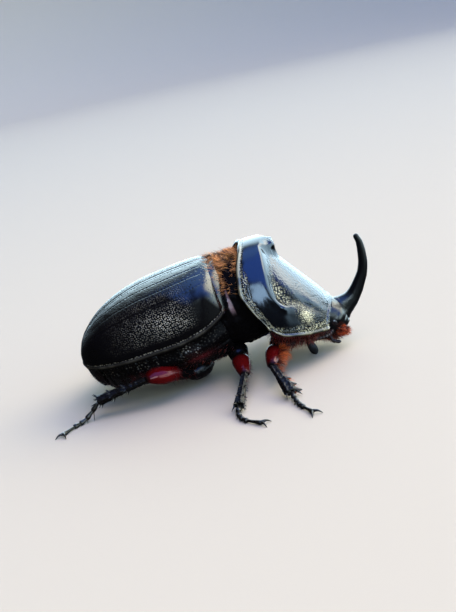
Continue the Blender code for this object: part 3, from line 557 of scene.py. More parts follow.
def wing_case(side):
    """The fine skin of one wing case."""
    places = case_places(CASE_ROWS)
    cuts = [case_section(x, CASE_OUTER, CASE_INNER) for x in places]
    flat = np.stack([section for section, _ in cuts])
    rings = np.concatenate([np.broadcast_to(places[:, None, None], (*flat.shape[:2], 1)), flat], axis=2)
    rings[..., 1] *= side
    fold = np.array([length for _, length in cuts])[:, None]
    outer = rings[:, :CASE_OUTER]
    around = lengths_along(outer, axis=1)
    length = np.broadcast_to(lengths_along(outer[:, CASE_OUTER // 2])[:, None], around.shape)
    rise = around - fold
    x = np.broadcast_to(places[:, None], around.shape)
    height, marks = case_relief(x, length, rise, around[:, -1:] - fold)
    height = height * ramp(around[:, -1:] - fold, 0.3, 2.5) * ramp(around, 0.0, 0.4)
    rings[:, :CASE_OUTER] += outward(rings)[:, :CASE_OUTER] * height[..., None]
    rings[:, :CASE_OUTER, 1] = side * np.maximum(side * rings[:, :CASE_OUTER, 1], SEAM * 0.6)
    padded = {key: np.pad(value, ((0, 0), (0, CASE_INNER))) for key, value in marks.items()}
    return from_hind_axis(rings), padded


for side, word in SIDES:
    rings, marks = wing_case(side)
    make(f"{word}_wing_case", [closed(rings, **marks)], CASE_FINISH, [f"wing_case_{word}"])

# %% [markdown]
# ## The body under the wing cases
# Below the rim of the wing cases show the belly plates, the side plates with a strip of coarse pits, and
# the thorax that carries the middle and hind legs. All three are one smooth tube in life, parted by seams.
# The upper half is covered, so it gets few points, and the lower half gets many. Each belly plate has a
# groove at its seam and pits towards its sides.

# %% Belly, thorax and tail
BELLY_DEPTH = 8.1
BELLY_DEEPENS = 0.13
BELLY_REAR = -12.5
BELLY_TURNS_UP = -5.5
BELLY_POWER = 2.2
BODY_INSET = 1.05
TAIL_INSET = 0.8
TAIL_CEILING = -0.75
BODY_FRONT = 11.3
THORAX_REAR = 0.4
ABDOMEN_REAR = -10.2
STERNITES = 6
UNDER_ANGLES = np.linspace(-math.pi, 0, 270)
OVER_ANGLES = np.linspace(0, math.pi, 26)[1:-1]
BODY_ANGLES = np.concatenate([UNDER_ANGLES, OVER_ANGLES])


def body_section(x, ceiling=None):
    """One ring of the body: the rounded underside, then an arch that clears the wing cases."""
    towards_end = BODY_INSET if x > CASE_WIDEST else -BODY_INSET
    inset_x = min(max(x + towards_end, CASE_REAR), CASE_FRONT)
    half_width = max(0.6, case_half_width(inset_x) - BODY_INSET)
    height = max(0.4, case_height(inset_x) - BODY_INSET)
    if ceiling is not None:
        half_width = max(0.6, case_half_width(max(x, CASE_REAR)) - TAIL_INSET)
    sag = eased(CASE_SAG, inset_x)
    depth = BELLY_DEPTH + BELLY_DEEPENS * x
    if x < BELLY_TURNS_UP:
        depth *= (1 - min(1.0, (BELLY_TURNS_UP - x) / (BELLY_TURNS_UP - BELLY_REAR)) ** 2.6) ** (1 / 2.6)
    under = oval(UNDER_ANGLES, half_width, max(depth - sag, 0.05), BELLY_POWER)
    over = oval(OVER_ANGLES, half_width, height + sag, CASE_POWER)
    across = np.concatenate([under[0], over[0]])
    up = np.concatenate([under[1], over[1]]) - sag
    if ceiling is not None:
        up = np.minimum(up, ceiling)
    return np.stack([np.full(len(across), x), across, up], axis=1)


def body_tube(start, end, count, relief, ceiling=None, ease=False):
    """A length of the body with its relief, as a closed skin in the beetle's frame."""
    share = np.linspace(0, 1, count)
    x = start + (end - start) * (np.sin(share * math.pi / 2) if ease else share)
    rings = np.stack([body_section(place, ceiling) for place in x])
    along = np.broadcast_to(x[:, None], rings.shape[:2])
    down = np.clip(-np.sin(BODY_ANGLES), 0, 1)[None] + 0 * along
    height, marks = relief(along, lengths_along(rings, axis=1), down)
    return from_hind_axis(raised(rings, height * ramp(down, 0.0, 0.08))), marks


def abdomen_relief(x, around, down):
    """Six belly plates, pits towards the sides, and the reddish side plates."""
    span = (THORAX_REAR - 0.3 - ABDOMEN_REAR) / STERNITES
    share = np.mod((x - ABDOMEN_REAR) / span, 1.0)
    height = 0.16 * ramp(share, 0.0, 0.2) - 0.05 + 0.05 * share - 0.14 * bump(share, 1.0, 0.06)
    height -= 0.14 * bump(share, 0.0, 0.06) * ramp(x, ABDOMEN_REAR + 0.2, ABDOMEN_REAR + 0.6)
    pit = pits(x, around, 0.55, 0.14, seed=21)
    side = ramp(down, 0.8, 0.35)
    strip = bump(down, 0.22, 0.1)
    height -= 0.05 * pit * side
    height += 0.14 * bump(down, 0.36, 0.08)
    warm = 0.9 * ramp(down, 0.25, 0.5) * (0.6 + 0.4 * np.cos(share * math.tau)) * ramp(x, -8.0, -3.0)
    dust = 0.25 * pit * strip * ramp(wobble(np.stack([x, around, 0 * x], -1), 1.2, 4), -0.4, 0.3)
    # Painted shade: away from the reddish side plates the belly turns black and loses its gloss.
    return height, {"warm": warm, "dust": dust, "dark": 0.75 * (1 - warm)}


def thorax_relief(x, around, down):
    """A groove along the middle, a raised side plate and coarse pits with dust beside the rim."""
    height = -0.25 * bump(down, 1.0, 0.004) - 0.2 * bump(x, 3.6, 0.14) * ramp(down, 1.0, 0.9)
    height += 0.3 * bump(down, 0.3, 0.09) - 0.2 * bump(down, 0.48, 0.035)
    pit = pits(x, around, 0.5, 0.14, seed=31)
    strip = bump(down, 0.22, 0.14) * (0.12 + bump(x, 5.2, 1.3))
    height -= 0.07 * pit * ramp(down, 0.95, 0.6)
    patchy = ramp(wobble(np.stack([x, around, 0 * x], -1), 1.2, 6), -0.4, 0.3)
    warm = 0.8 * bump(down, 0.5, 0.14) * bump(x, 6.0, 2.6)
    # Painted shade: away from the pitted strip and the red side the thorax turns black and loses its gloss.
    dark = (1 - warm) * ramp(strip, 0.7, 0.2)
    return height, {"dust": 0.7 * pit * strip * patchy, "warm": warm, "dark": dark}


def tail_relief(x, around, down):
    """A smooth bulging plate with fine pits towards its upper edge."""
    pit = pits(x, around, 0.5, 0.16, seed=41)
    behind = ramp(x, ABDOMEN_REAR - 0.7, ABDOMEN_REAR + 0.1)
    height = 0.06 * down - 0.04 * pit * ramp(down, 0.9, 0.3) - 0.4 * behind
    # Painted shade: the tail plate turns black and loses its gloss all over.
    return height, {"warm": 0.2 * down, "dark": 0.7 + 0 * down}


BODY = {}
for node, start, end, count, relief, ceiling in (
    ("abdomen", ABDOMEN_REAR, THORAX_REAR - 0.3, 150, abdomen_relief, None),
    ("hind_thorax", THORAX_REAR - 0.45, BODY_FRONT, 130, thorax_relief, None),
    ("tail_plate", ABDOMEN_REAR + 0.15, BELLY_REAR + 0.12, 50, tail_relief, TAIL_CEILING),
):
    rings, marks = body_tube(start, end, count, relief, ceiling, ease=ceiling is not None)
    BODY[node] = rings
    make(f"{node}_skin", [closed(rings, **marks)], BELLY_FINISH, [node])

# %% [markdown]
# ## Scutellum and collar
# The scutellum is the small heart-shaped plate let in between the wing cases at their base. The collar
# behind the shield is soft black skin, half hidden in orange hair, so a plain rounded tube with a coarse
# relief is enough here and the hair that comes later does the rest. Low on each side a narrow smooth plate
# shows bare.


# %% Scutellum and collar
SCUTELLUM_LINE = (
    (9.5, 0.0, 0.0, 0.2), (10.3, 0.0, 0.0, 1.05), (11.3, 0.0, 0.0, 1.95), (12.4, 0.0, 0.0, 2.65),
    (13.4, 0.0, 0.0, 2.9), (14.1, 0.0, 0.0, 2.4),
)
SCUTELLUM_TOP = 60
SCUTELLUM_UNDER = 10
COLLAR_LINE = (
    (0.4, 0.0, 11.9, 7.7, 7.1), (1.8, 0.0, 11.7, 7.8, 7.3), (3.2, 0.0, 11.7, 7.7, 7.6),
    (5.0, 0.0, 11.8, 7.3, 7.6), (7.6, 0.0, 11.8, 6.4, 7.0),
)
COLLAR_SIDES = 160


def scutellum_rings():
    """The heart-shaped plate: a domed top over a flat underside."""
    rings = []
    for x, _, _, half_width in spline(SCUTELLUM_LINE, 60):
        top = case_height(min(x, CASE_FRONT)) - 0.5 * max(0.0, x - 12.2)
        across = np.linspace(-1, 1, SCUTELLUM_TOP) * half_width
        up = top - 0.08 * across**2 / max(half_width, 1) - 0.25 * (np.abs(across) / half_width) ** 6
        under = np.linspace(0.8, -0.8, SCUTELLUM_UNDER) * half_width
        rings.append(np.vstack([
            np.stack([np.full(SCUTELLUM_TOP, x), across, up], axis=1),
            np.stack([np.full(SCUTELLUM_UNDER, x), under, np.full(SCUTELLUM_UNDER, top - 0.8)], axis=1),
        ]))
    rings = np.array(rings)
    pit = pits(rings[..., 0], rings[..., 1], 0.45, 0.16, seed=51)
    rings[..., 2] -= 0.05 * pit * (np.arange(SCUTELLUM_TOP + SCUTELLUM_UNDER) < SCUTELLUM_TOP)
    return from_hind_axis(rings), pit


def collar_rings():
    """The soft neck between the shield and the wing cases."""
    rings = []
    for x, _, middle, half_width, half_height in spline(COLLAR_LINE, 70):
        across, up = oval(all_round(COLLAR_SIDES), half_width, half_height, 2.2)
        rings.append(np.stack([np.full(COLLAR_SIDES, x), across, middle + up], axis=1))
    rings = np.array(rings)
    return raised(rings, 0.22 * wobble(rings, 0.9, 13) + 0.1 * wobble(rings, 0.35, 14) - 0.25)


PLATE, plate_pits = scutellum_rings()
plate = closed(PLATE, warm=0.3 + 0 * plate_pits, dust=0.15 * plate_pits)
make("scutellum_plate", [plate], COLLAR_FINISH, ["scutellum"])
COLLAR = collar_rings()
strip = np.abs(COLLAR[..., 0] - 1.8 - 0.22 * (15.2 - COLLAR[..., 2]))
smooth = ramp(strip, 0.5, 0.25) * ramp(COLLAR[..., 2], 10.8, 12.2) * ramp(COLLAR[..., 2], 15.8, 15.0)
bare = 1 - 0.9 * smooth
make("collar", [closed(COLLAR, warm=smooth, dark=bare)], COLLAR_FINISH, ["neck"])

# %% [markdown]
# ## The shield
# The shield, or pronotum, is what names this beetle from afar: a tall hump, scooped out in front of its
# crest, with two small knobs at the top. It has a beaded rim all round, dusty pits along its hind and lower
# edges, a broad mirror-smooth band behind, a wrinkled hollow in each side and a shiny fold below that
# hollow. The lower part of each hollow, the low sides in front and the strip under the fold are painted
# black and without gloss, as painted shade, and two gold patches of painted glints lie low in each hollow
# and low on the side towards the front. The outline is the same formula as the solid's, read much finer,
# so the knobs and rims sit where the solid has them. Only the hollow starts up to about 0.7 mm from where
# the solid's does, as the real one shows it.

# %% Shield outline
SHIELD_PLAN = ((3.9, 9.5), (7.5, 10.1), (9.5, 10.1), (12.0, 9.6), (14.0, 8.7), (16.0, 7.1), (18.7, 5.2))
SHIELD_TOP = ((4.0, 20.4), (6.0, 20.9), (9.0, 21.1), (11.0, 20.6), (13.0, 19.0), (15.0, 16.2), (18.7, 9.4))
SHIELD_EDGE = ((4.0, 10.2), (7.4, 8.4), (9.5, 6.9), (12.4, 6.2), (16.8, 5.2), (18.7, 5.0))
SHIELD_HIND = ((0, 7.4), (10, 5.4), (25, 4.1), (45, 4.4), (70, 5.4), (90, 6.0))
SHIELD_FRONT_CORNER = 16.8
SHIELD_FRONT_REACH = 1.9
SHIELD_POWER = 2.15
CREST_FRONT = 11.4
SLOPE_TOP = 17.5
SLOPE_FALL = 1.17
CREST_WALL = 12.0
CREST_WALL_ASIDE = 3.0
CREST_CORNER = 2.2
SCOOP_SWEEP = 3.6
SCOOP_HALF_SPAN = 8.0
SCOOP_SOFTNESS = 2.0
HOLLOW_DEPTH = 1.35
HOLLOW_START = ((13, 0.4), (18, 0.38), (24, 0.33), (35, 0.28), (47, 0.26), (63, 0.24), (80, 0.22))
KNOB_SPREAD = 1.7
KNOB_RADIUS = 0.7
KNOB_HEIGHT = 19.75
SHIELD_ROWS = 250
SHIELD_ARCS = 460
HIND_LIP = ((1.1, 1.5), (0.95, 0.6), (0.75, 0.1), (0.5, -0.14), (0.28, -0.2), (0.1, -0.12))
FRONT_LIP = ((0.1, 0.1), (0.26, 0.13), (0.42, 0.04), (0.52, -0.2), (0.58, -0.7), (0.62, -1.4))


def soft_minimum(a, b):
    """The lower of two heights, with the corner where they meet rounded off."""
    near = np.maximum(SCOOP_SOFTNESS - np.abs(a - b), 0.0) / SCOOP_SOFTNESS
    return np.minimum(a, b) - near * near * SCOOP_SOFTNESS / 4


def scoop(x, across):
    """Height of the scooped front: a long slope, then a wall under the crest that fades to the sides."""
    reach = np.abs(across)
    aside = ramp(reach, 0.9, 3.8)
    reach = reach - np.maximum(0.0, reach - 5.0) ** 2 / 8
    slope = SLOPE_TOP + SLOPE_FALL * (CREST_FRONT - x - SCOOP_SWEEP * (reach / SCOOP_HALF_SPAN) ** 2)
    behind = CREST_FRONT - x - CREST_CORNER * aside
    wall = CREST_WALL + (CREST_WALL_ASIDE - CREST_WALL) * aside
    softness = 0.35 + 0.65 * aside
    near = np.maximum(softness - np.abs(behind), 0.0) / softness
    return slope + wall * (np.maximum(0.0, behind) + near**2 * softness / 4)


def shield_points(along, angle):
    """Points of the shield: along is 0 at its hind margin and 1 at its front, the angle 0 at one side."""
    rise = np.degrees(np.minimum(angle, math.pi - angle))
    hind = eased(SHIELD_HIND, rise)
    front = SHIELD_FRONT_CORNER + SHIELD_FRONT_REACH * np.sin(angle)
    x = hind + (front - hind) * along
    edge = eased(SHIELD_EDGE, x)
    across, up = oval(angle, eased(SHIELD_PLAN, x), eased(SHIELD_TOP, x) - edge, SHIELD_POWER)
    ahead = along - eased(HOLLOW_START, rise)
    lengthwise = ramp(ahead, 0.02, 0.14) * ramp(ahead, 0.6, 0.38)
    upright = ramp(rise, 13, 25) * ramp(rise, 96, 62)
    inward = 1 - HOLLOW_DEPTH * lengthwise * upright / np.maximum(np.hypot(across, up), 1e-6)
    across, up = across * inward, up * inward
    return np.stack([x, across, soft_minimum(edge + up, scoop(x, across))], axis=-1)


print("height of the crest:", round(float(shield_points(0.3, math.pi / 2)[2]), 2), "mm")

# %% Shield relief
def shield_relief(points, along, angle, length, rise_way):
    """Heights and marks; length runs from the hind margin, rise_way up from the lower edge."""
    rise = np.degrees(np.minimum(angle, math.pi - angle))
    to_front = length[-1:] - length
    flat = np.stack([points[..., 0], np.abs(points[..., 1]), points[..., 2]], axis=-1)
    height = 0.14 * bump(length, 0.16, 0.16) - 0.1 * bump(length, 0.5, 0.14)
    height += 0.14 * bump(rise_way, 0.18, 0.17) - 0.1 * bump(rise_way, 0.52, 0.15)
    height += 0.12 * bump(to_front, 0.2, 0.18) - 0.1 * bump(to_front, 0.55, 0.18)
    strip = 0.95 + 0.9 * ramp(rise, 58, 34)
    edge_strip = np.maximum(ramp(length, strip, strip - 0.6) * ramp(length, 0.3, 0.5),
                            ramp(rise_way, 2.0, 1.2) * ramp(rise_way, 0.3, 0.5))
    # Painted glint: a gold patch low on the side towards the front.
    low_front_glint = bump(along, 0.71, 0.075) * bump(rise, 12.5, 5)
    ahead = along - eased(HOLLOW_START, rise)
    reach = eased(((18, 0.42), (28, 0.4), (40, 0.24), (60, 0.14), (76, 0.1)), rise)
    low = ramp(rise, 31, 20) * ramp(along, 0.55, 0.66)
    rough = (ramp(ahead, 0.07, 0.11) * ramp(ahead, reach, 0.6 * reach)
             * ramp(rise, 17, 21) * ramp(rise, 84, 76))
    slope = ramp(ahead, 0.06, 0.16) * ramp(rise, 20, 32)
    ridge = bump(ahead, 0, 0.06) * ramp(rise, 15, 22) * ramp(rise, 80, 60)
    fold = bump(rise, 16.8 + 12 * (along - 0.42), 2.4) * ramp(along, 0.39, 0.46) * ramp(along, 0.72, 0.5)
    height += 0.09 * ridge + 0.26 * fold
    pit = pits(length, rise_way, 0.34, 0.14, seed=61)
    coarse = pits(length * 0.75, rise_way, 0.36, 0.15, seed=67)
    wrinkle = wobble(flat * (1.5, 1.5, 0.8), 0.4, 17) + 0.6 * wobble(flat * (1.8, 1.8, 0.9), 0.22, 18)
    height -= 0.06 * pit * np.clip(edge_strip + low, 0, 1)
    height += rough * (0.045 * wrinkle - 0.055 * coarse)
    lines = wobble(flat * (2.6, 2.6, 0.5), 0.5, 71) * slope * ramp(ahead, 0.3, 0.16) * ramp(rise, 38, 50)
    height += slope * (0.018 * wrinkle - 0.025 * pit) + 0.035 * lines
    for side in (-1, 1):
        knob = np.array((CREST_FRONT - 0.3, side * KNOB_SPREAD, KNOB_HEIGHT))
        height += 0.3 * np.exp(-(np.linalg.norm(points - knob, axis=-1) / (KNOB_RADIUS * 1.05)) ** 2)
    patchy = ramp(wobble(flat, 1.1, 19), -0.35, 0.35)
    dust = pit * (0.6 * edge_strip * (0.3 + 0.7 * patchy) + 1.5 * low_front_glint)
    dust = dust + 0.3 * ramp(low_front_glint, 0.3, 0.9)
    # Painted glint: a gold patch low in each hollow, over its pits.
    gold_glint = bump(ahead, 0.13, 0.07) * bump(rise, 30, 8)
    dust += coarse * rough * (0.3 * patchy + 0.9 * gold_glint) * ramp(rise, 70, 30) + 0.3 * pit * low * patchy
    dust += (0.05 + 0.2 * patchy) * np.maximum(bump(length, 0.16, 0.2), bump(rise_way, 0.18, 0.2))
    # Painted shade: the lower hollows, the low front sides and the strip under the fold turn black and lose
    # their gloss.
    dark = 0.85 * rough * ramp(rise, 58, 34) + 0.65 * low * ramp(to_front, 0.4, 0.9)
    dark += 0.8 * bump(rise, 12.0, 5.0) * ramp(along, 0.42, 0.52) * ramp(along, 0.76, 0.68)
    return height, {"dust": np.clip(dust, 0, 0.95), "dark": np.clip(dark, 0, 0.8), "warm": 0 * dust}


def turned_edge(ring, steps):
    """Rings that roll an open end over: each step is a way in towards the middle and a way along X."""
    inward = unit(ring.mean(axis=0) - ring)
    return np.stack([ring + inward * way_in + np.array((way_x, 0, 0)) for way_in, way_x in steps])


def shield_rings():
    """The shield's skin, with its lower edges turned under and both ends rolled in."""
    angle, along = np.meshgrid(np.linspace(0, math.pi, SHIELD_ARCS), np.linspace(0, 1, SHIELD_ROWS))
    over = shield_points(along, angle)
    length, rise_way = lengths_along(over), lengths_along(over, axis=1)
    rise_way = np.minimum(rise_way, rise_way[:, -1:] - rise_way)
    height, marks = shield_relief(over, along, angle, length, rise_way)
    under = [(0.008, 0.13), (0.02, 0.2), (0.035, 0.1), (0.05, -0.2), (0.09, -0.5), (0.3, -0.6)]
    under = under + [(0.5, -0.6)] + [(1 - share, drop) for share, drop in under[::-1]]
    left, right = over[:, -1:], over[:, :1]
    shares = np.array([share for share, _ in under])[None, :, None]
    back = left + (right - left) * shares
    back[..., 2] -= np.array([drop for _, drop in under])
    rings = np.concatenate([over, back], axis=1)
    out = outward(rings)
    rings[:, :SHIELD_ARCS] += out[:, :SHIELD_ARCS] * height[..., None]
    rings = np.concatenate([turned_edge(rings[0], HIND_LIP), rings, turned_edge(rings[-1], FRONT_LIP)])
    unmarked = ((len(HIND_LIP), len(FRONT_LIP)), (0, len(under)))
    return rings, {key: np.pad(value, unmarked) for key, value in marks.items()}


SHIELD, shield_marks = shield_rings()
make("shield_plate", [closed(SHIELD, **shield_marks)], SHIELD_FINISH, ["shield"])


# %% Breast plate
BREAST_UNDER = 90
BREAST_TOP = 8


def breast_rings():
    """The underside of the forebody, below the shield and between the front legs."""
    rings = []
    for x in np.linspace(7.7, 17.0, 70):
        edge = eased(SHIELD_EDGE, x) - 0.35
        half_width = eased(SHIELD_PLAN, x) - 1.5
        depth = edge - eased(((7.7, 4.2), (9.0, 3.5), (12.0, 3.3), (17.0, 3.7)), x)
        across, up = oval(np.linspace(math.pi, math.tau, BREAST_UNDER), half_width, depth, 2.4)
        top = np.linspace(1, -1, BREAST_TOP + 2)[1:-1] * half_width
        rings.append(np.vstack([
            np.stack([np.full(BREAST_UNDER, x), across, edge + up], axis=1),
            np.stack([np.full(BREAST_TOP, x), top, np.full(BREAST_TOP, edge)], axis=1),
        ]))
    rings = np.array(rings)
    around = lengths_along(rings, axis=1)
    height = -0.06 * pits(rings[..., 0], around, 0.5, 0.2, seed=71) + 0.06 * wobble(rings, 0.8, 21)
    return raised(rings, height * (np.arange(BREAST_UNDER + BREAST_TOP) < BREAST_UNDER))


BREAST = breast_rings()
make("breast_skin", [evenly_marked(BREAST, warm=0.4)], BELLY_FINISH, ["breast_plate"])

# %% [markdown]
# ## Head and horn
# The head is small and hangs low in front of the shield. It narrows to the thin plate over the mouth, whose
# front edge is turned up. The horn grows from the brow: its foot is wide and pitted, and it thins to a
# smooth tip that curves back. Head and horn stay two pieces, as they are two nodes, so the horn's foot
# flares out and sinks into the brow and no edge shows between them.

# %% Head
HEAD_PITCH = math.radians(-40)
HEAD_START = np.array((16.6, 0.0, 6.6))
HEAD_ROWS = (
    (-0.6, 0.0, 3.4, 2.3), (0.8, 0.1, 3.9, 2.8), (2.0, 0.1, 4.0, 2.9), (3.2, 0.1, 3.5, 2.5),
    (3.9, 0.2, 2.7, 1.7), (4.4, 0.35, 2.2, 1.1), (4.8, 0.5, 1.8, 0.55),
)
HORN_LINE = (
    (19.8, 0.0, 5.7, 1.75, 1.55), (21.1, 0.0, 6.6, 1.45, 1.4), (22.55, 0.0, 8.1, 1.2, 1.2),
    (23.8, 0.0, 10.0, 0.98, 0.98), (24.65, 0.0, 11.8, 0.82, 0.84), (25.0, 0.0, 13.5, 0.74, 0.76),
    (25.05, 0.0, 15.1, 0.66, 0.68), (24.95, 0.0, 16.5, 0.56, 0.58), (24.6, 0.0, 17.6, 0.45, 0.47),
)
HORN_LENGTH = 17
AHEAD = np.array((math.cos(HEAD_PITCH), 0, math.sin(HEAD_PITCH)))
ABOVE = np.array((-math.sin(HEAD_PITCH), 0, math.cos(HEAD_PITCH)))


def along_head(reach, lift=0.0, side=0.0):
    """A place on the head, by how far along its axis, above it and to the side it lies."""
    reach, lift, side = (np.asarray(value, float)[..., None] for value in (reach, lift, side))
    return HEAD_START + AHEAD * reach + ABOVE * lift + np.array((0, 1, 0)) * side


def head_rings():
    """The head capsule: cheeks with a ledge before the eye, pitted brow and an upturned front plate."""
    rows = np.array(HEAD_ROWS)
    reach = np.linspace(rows[0, 0], rows[-1, 0], 120)
    lift, half_width, half_height = (eased(list(zip(rows[:, 0], column)), reach) for column in rows.T[1:])
    angle = all_round(200)
    across, up = oval(angle[None], half_width[:, None], half_height[:, None], 2.3)
    rings = along_head(reach[:, None] + 0 * up, lift[:, None] + up, across)
    top = np.clip(np.sin(angle), 0, 1)[None] + 0 * up
    sideways = np.abs(np.cos(angle))[None] + 0 * up
    around = lengths_along(rings, axis=1)
    length = reach[:, None] + 0 * up
    height = -0.015 * pits(length, around, 0.36, 0.13, seed=81) * ramp(top, 0.05, 0.4)
    height += 0.02 * wobble(rings, 0.5, 23) * ramp(top, 0.1, 0.5)
    height += 0.22 * bump(length, 2.6, 0.5) * bump(sideways, 1.0, 0.22) * ramp(top, -0.1, 0.2)
    height += 0.14 * bump(length, 4.72, 0.2) * ramp(top, 0.3, 0.8)
    height -= 0.15 * bump(length, 3.75, 0.14) * ramp(top, 0.2, 0.6)
    return raised(rings, height), length


HEAD, head_length = head_rings()
head = closed(HEAD, warm=0.5 * ramp(head_length, 4.4, 4.9))
make("head_capsule", [head], HORN_FINISH, ["head"])


# %% Horn
def horn_rings():
    """The horn, pitted at its foot and smooth at its tip, with a blunt keel along the back."""
    rows = domed(spline(HORN_LINE, 170), tail=0.7, nose=0.9, steps=8)
    sides = 90
    share = np.linspace(0, 1, len(rows))
    flare = 1 + 0.28 * ramp(share, 0.14, 0.0)
    rows[:, 3:] *= flare[:, None]
    rings = limb_rings(rows, (0, 1, 0), sides)
    angle = all_round(sides)
    length = np.broadcast_to((share * HORN_LENGTH)[:, None], rings.shape[:2])
    around = lengths_along(rings, axis=1)
    foot = ramp(length, 7.0, 2.5)
    behind = np.clip(np.cos(angle), 0, 1)[None] ** 1.5
    rings = raised(rings, 0.75 * ramp(length, 5.2, 1.8) * behind)
    height = -0.03 * pits(length, around, 0.36, 0.12, seed=91) * foot
    height += 0.02 * wobble(rings, 0.6, 27) * ramp(length, 13, 6)
    height -= 0.03 * ramp(length, 15, 8) * (1 - np.abs(np.sin(angle * 2))[None]) ** 3
    return raised(rings, height)


HORN = horn_rings()
# Painted shade: the horn's upper part turns black and loses its gloss and reflections.
upper_part = ramp(np.linspace(0, HORN_LENGTH, len(HORN)), 3.0, 6.5)[:, None]
make("horn_shaft", [closed(HORN, dark=0.66 * upper_part + 0 * HORN[..., 0])], HORN_FINISH, ["horn"])

# %% [markdown]
# ## Eyes, jaws and feelers
# The eyes are half-sunk balls of tiny facets, low on the cheeks, each crossed in front by a ledge of shell.
# The jaws show beside the mouth plate, under a brush of red bristles. The feelers of this family end in a
# club of three leaves, and their stalk is a string of small cups. Each is a short limb, made the way the
# legs are.


# %% Eyes
EYE_RADIUS = 0.9
for side, word in SIDES:
    angle, tilt = np.meshgrid(all_round(96), np.linspace(-math.pi / 2, math.pi / 2, 66)[1:-1])
    ways = np.stack([np.cos(tilt) * np.cos(angle), np.cos(tilt) * np.sin(angle), np.sin(tilt)], axis=-1)
    facets = pits(angle * np.cos(tilt) / 0.075, tilt / 0.075, 1.0, 0.62, seed=95)
    centre = EYE_PLACE * (1, side, 1)
    radii = np.array((EYE_RADIUS, EYE_RADIUS * 0.9, EYE_RADIUS))
    ball = centre + ways * radii * (1 - 0.012 * (1 - facets))[..., None]
    make(f"{word}_eye", [closed(ball)], EYE_FINISH, [f"eye_{word}"])


# %% Mouth
def string_of_beads(line, joints, slim=0.72, sides=18):
    """A jointed limb in painted shade all over: each joint swells from a slim start to its end."""
    rows = spline(line, 120)
    share = np.linspace(0, joints, 120) % 1.0
    swell = slim + (1 - slim) * ramp(share, 0.05, 0.8) - (1 - slim) * ramp(share, 0.93, 1.0)
    rows[:, 3:] *= swell[:, None]
    rings = limb_rings(domed(rows, 0.8, 0.8), (0.3, 0.2, 1), sides)
    # Painted shade: the whole limb turns near black and loses its gloss.
    return evenly_marked(rings, dark=0.6)


def on_head(*rows):
    """Rows of a limb on the head, from how far along, above and aside they lie and their half sizes."""
    return [(*along_head(reach, lift, side), wide, deep) for reach, lift, side, wide, deep in rows]


lip = on_head((1.4, -2.9, 0, 1.6, 0.7), (2.8, -2.75, 0, 1.9, 1.0), (3.8, -2.1, 0, 1.6, 0.9),
              (4.6, -1.5, 0, 1.0, 0.6))
LIP = limb_rings(domed(spline(lip, 50), 0.5, 0.7), (1, 0, 1), 60)
LIP = raised(LIP, 0.08 * wobble(LIP, 0.5, 29))
make("lip_skin", [evenly_marked(LIP, warm=0.3)], BELLY_FINISH, ["lower_lip"])
JAWS = {}
for side, word in SIDES:
    jaw = on_head((3.2, -0.8, side * 2.75, 0.72, 0.66), (4.1, -0.72, side * 2.72, 0.7, 0.56),
                  (4.85, -0.5, side * 2.2, 0.46, 0.4))
    rings = limb_rings(domed(spline(jaw, 40), 0.5, 0.6), (1, 0, 1), 40)
    rings = raised(rings, 0.05 * wobble(rings, 0.45, 31))
    JAWS[word] = rings
    # Painted shade: the jaws turn near black and lose their gloss.
    make(f"{word}_jaw", [evenly_marked(rings, dark=0.75)], HORN_FINISH, [f"jaw_{word}"])
    palp = on_head((2.6, -2.2, side * 2.4, 0.3, 0.3), (3.2, -2.8, side * 2.9, 0.28, 0.28),
                   (4.2, -2.9, side * 2.8, 0.36, 0.36), (4.9, -2.6, side * 2.6, 0.26, 0.26))
    make(f"{word}_palp", [string_of_beads(palp, 3)], FEELER_FINISH, [f"palp_{word}"])

# %% Feelers
LEAF_LINE = ((0.0, 0.35), (0.3, 0.62), (0.65, 0.68), (0.92, 0.5), (1.0, 0.3))
for side, word in SIDES:
    stalk = [(17.6, side * 3.7, 4.0, 0.4, 0.4), (16.6, side * 4.9, 3.7, 0.44, 0.44),
             (15.6, side * 5.45, 3.75, 0.3, 0.3), (15.0, side * 5.7, 3.8, 0.3, 0.3),
             (13.9, side * 5.9, 3.9, 0.36, 0.36)]
    make(f"{word}_feeler", [string_of_beads(stalk, 8)], FEELER_FINISH, [f"feeler_{word}"])
    start, end = np.array((13.3, side * 5.95, 3.75)), np.array((14.15, side * 6.0, 1.75))
    leaves = []
    for k in (-1, 0, 1):
        slant = np.array((0.0, side * 0.42 * k, 0.0))
        rows = [(*(start + (end - start) * t + slant * min(1.0, 0.4 + t)), wide, 0.21)
                for t, wide in LEAF_LINE]
        rings = limb_rings(domed(spline(rows, 36), 0.5, 0.7), (0, 1, 0), 36)
        rings = raised(rings, 0.015 * wobble(rings, 0.15, 33 + k))
        # Painted shade: the club leaves turn near black and lose their gloss.
        leaves.append(evenly_marked(rings, dark=0.7))
    make(f"{word}_club", leaves, CLUB_FINISH, [f"club_{word}"])

# %% [markdown]
# ## Legs
# Each leg has a short hip, a stout polished thigh, a shin that broadens towards the foot and bears spines
# or digging teeth, and a foot of five joints with two claws. The thighs are deep red in their outer half
# and black at both ends. One table places all six legs, the same as in the solid model, and one loop
# dresses them all. Only the hind thighs are a little fuller near the knee than the solids. Spines have a
# flared foot, so that they seem to grow from the shin.

